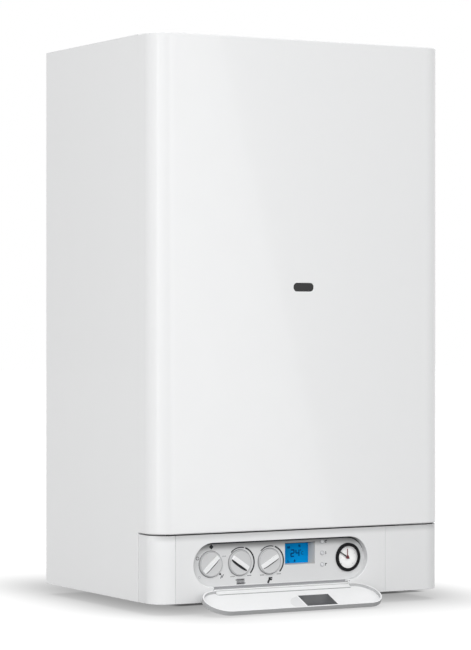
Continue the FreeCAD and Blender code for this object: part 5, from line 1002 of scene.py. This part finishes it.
def screw_pattern():
    """A domed head with a cross recess, standing on Z = 0, and its shank."""
    shape = bmesh.new()
    profile = [(0, 2.1), (1.6, 2.0), (3.0, 1.5), (3.8, 0.6), (4.0, 0.0), (1.8, 0.0), (1.8, -9.0), (0, -9.0)]
    ring = [shape.verts.new((x * MM, 0, z * MM)) for x, z in profile]
    edges = [shape.edges.new(pair) for pair in zip(ring, ring[1:])]
    bmesh.ops.spin(shape, geom=ring + edges, cent=(0, 0, 0), axis=(0, 0, 1), angle=math.tau, steps=24)
    bmesh.ops.remove_doubles(shape, verts=shape.verts, dist=1e-6)
    bmesh.ops.recalc_face_normals(shape, faces=shape.faces)
    head = place("screw_pattern", new_mesh("screw_pattern", shape))
    cutters = []
    for turn in (0, 90):
        blade = bmesh.new()
        spot = Matrix.Rotation(math.radians(turn), 4, "Z") @ Matrix.Translation((0, 0, HEAD_HEIGHT))
        bmesh.ops.create_cube(blade, size=1.0, matrix=spot @ Matrix.Diagonal((*CROSS, 1)))
        cutter = place("cross", new_mesh("cross", blade))
        recess = head.modifiers.new("recess", "BOOLEAN")
        recess.object = cutter
        recess.solver = "EXACT"
        cutters.append(cutter)
    mesh = in_order(plain_mesh(head))
    head.modifiers.clear()
    head.data = mesh
    for cutter in cutters:
        bpy.data.objects.remove(cutter)
    smooth(mesh, 35)
    return head


one_screw = screw_pattern()
print("screw pattern with", len(one_screw.data.polygons), "faces")

# %% Four places
on_points, given, result = new_group("GeometryNodeTree", "one_piece_on_points", {
    "Geometry": GEOMETRY, "Piece": OBJECT, "Finish": MATERIAL,
}, {"Geometry": GEOMETRY})
pattern = add(on_points, "GeometryNodeObjectInfo", {"Object": given["Piece"]})
end_with_copies(on_points, given, result, {"Points": given["Geometry"], "Instance": pattern.outputs["Geometry"]})

low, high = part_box("casing_screws")
across = (low.x + HEAD_RADIUS, high.x - HEAD_RADIUS)
corners = [(x, y, high.z - HEAD_HEIGHT) for x in across for y in (low.y + HEAD_RADIUS, high.y - HEAD_RADIUS)]
dots = bpy.data.meshes.new("screw_places")
dots.from_pydata(corners, [], [])
four_screws = grow("screw_places", on_points, dots, Piece=one_screw, Finish=finishes["brushed_steel"])
screws = joined("casing_screw_heads", [four_screws], "boiler")
bpy.data.objects.remove(one_screw)
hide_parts("casing_screws")
print("screws at", [tuple(round(value, 3) for value in corner) for corner in corners])

# %% [markdown]
# ## Threads on the connections
# The water and gas connections under the casing end in a pipe thread. The drawn stub is as wide as the crests, so
# its copy is drawn in to the root of the thread, and rings of Geometry Nodes stand on it as the crests.

# %% A tree for the crests of a thread
crests, given, result = new_group("GeometryNodeTree", "crests_of_a_thread", {
    "Count": INT, "Pitch": FLOAT, "Radius": FLOAT, "Crest": FLOAT, "Start": VECTOR, "Finish": MATERIAL,
}, {"Geometry": GEOMETRY})
step = add(crests, "ShaderNodeCombineXYZ", {"Z": given["Pitch"]})
row = add(crests, "GeometryNodeMeshLine", {
    "Count": given["Count"], "Start Location": given["Start"], "Offset": step.outputs[0],
})
round_path = add(crests, "GeometryNodeCurvePrimitiveCircle", {"Resolution": 48, "Radius": given["Radius"]})
ridge = add(crests, "GeometryNodeCurvePrimitiveCircle", {"Resolution": 6, "Radius": given["Crest"]})
ring = add(crests, "GeometryNodeCurveToMesh", {"Curve": round_path.outputs[0], "Profile Curve": ridge.outputs[0]})
end_with_copies(crests, given, result, {"Points": row.outputs[0], "Instance": ring.outputs[0]})
print("tree", crests.name)

# %% Roots and crests of the five threads
# A stub has its place along X and the radius of its crests. All of them stand in one row.
STUBS = ((-140, 13.2), (-70, 10.5), (0, 13.2), (70, 10.5), (140, 13.2))
ROW, THREAD_LOW, THREAD_HIGH = -110.0, -10.0, 14.0
WALL_DEPTH, ROOT_DEPTH, CREST_DEPTH = 1.2, 1.1, 0.75
CREST_RADIUS, CREST_COUNT, PITCH, FIRST_CREST = 0.7, 12, 1.85, 1.6
stub_roots = dress("connection_stubs", "machined_brass", 0.3)
for vertex in stub_roots.data.vertices:
    level = (vertex.co.z - BASE) / MM
    if THREAD_LOW - 0.1 < level < THREAD_HIGH + 0.1:
        x, radius = min(STUBS, key=lambda stub: abs(stub[0] - vertex.co.x / MM))
        away = Vector((vertex.co.x - x * MM, vertex.co.y - ROW * MM, 0))
        if away.length > (radius - WALL_DEPTH) * MM:
            away *= ((radius - ROOT_DEPTH) * MM) / away.length
            vertex.co.x, vertex.co.y = x * MM + away.x, ROW * MM + away.y
thread_rings = [
    grow("thread", crests, **{
        "Count": CREST_COUNT, "Pitch": PITCH * MM, "Radius": (radius - CREST_DEPTH) * MM, "Crest": CREST_RADIUS * MM,
        "Start": (x * MM, ROW * MM, (THREAD_LOW + FIRST_CREST) * MM + BASE), "Finish": finishes["machined_brass"],
    })
    for x, radius in STUBS
]
joined("connection_threads", thread_rings, "boiler")
print(len(thread_rings), "threads")
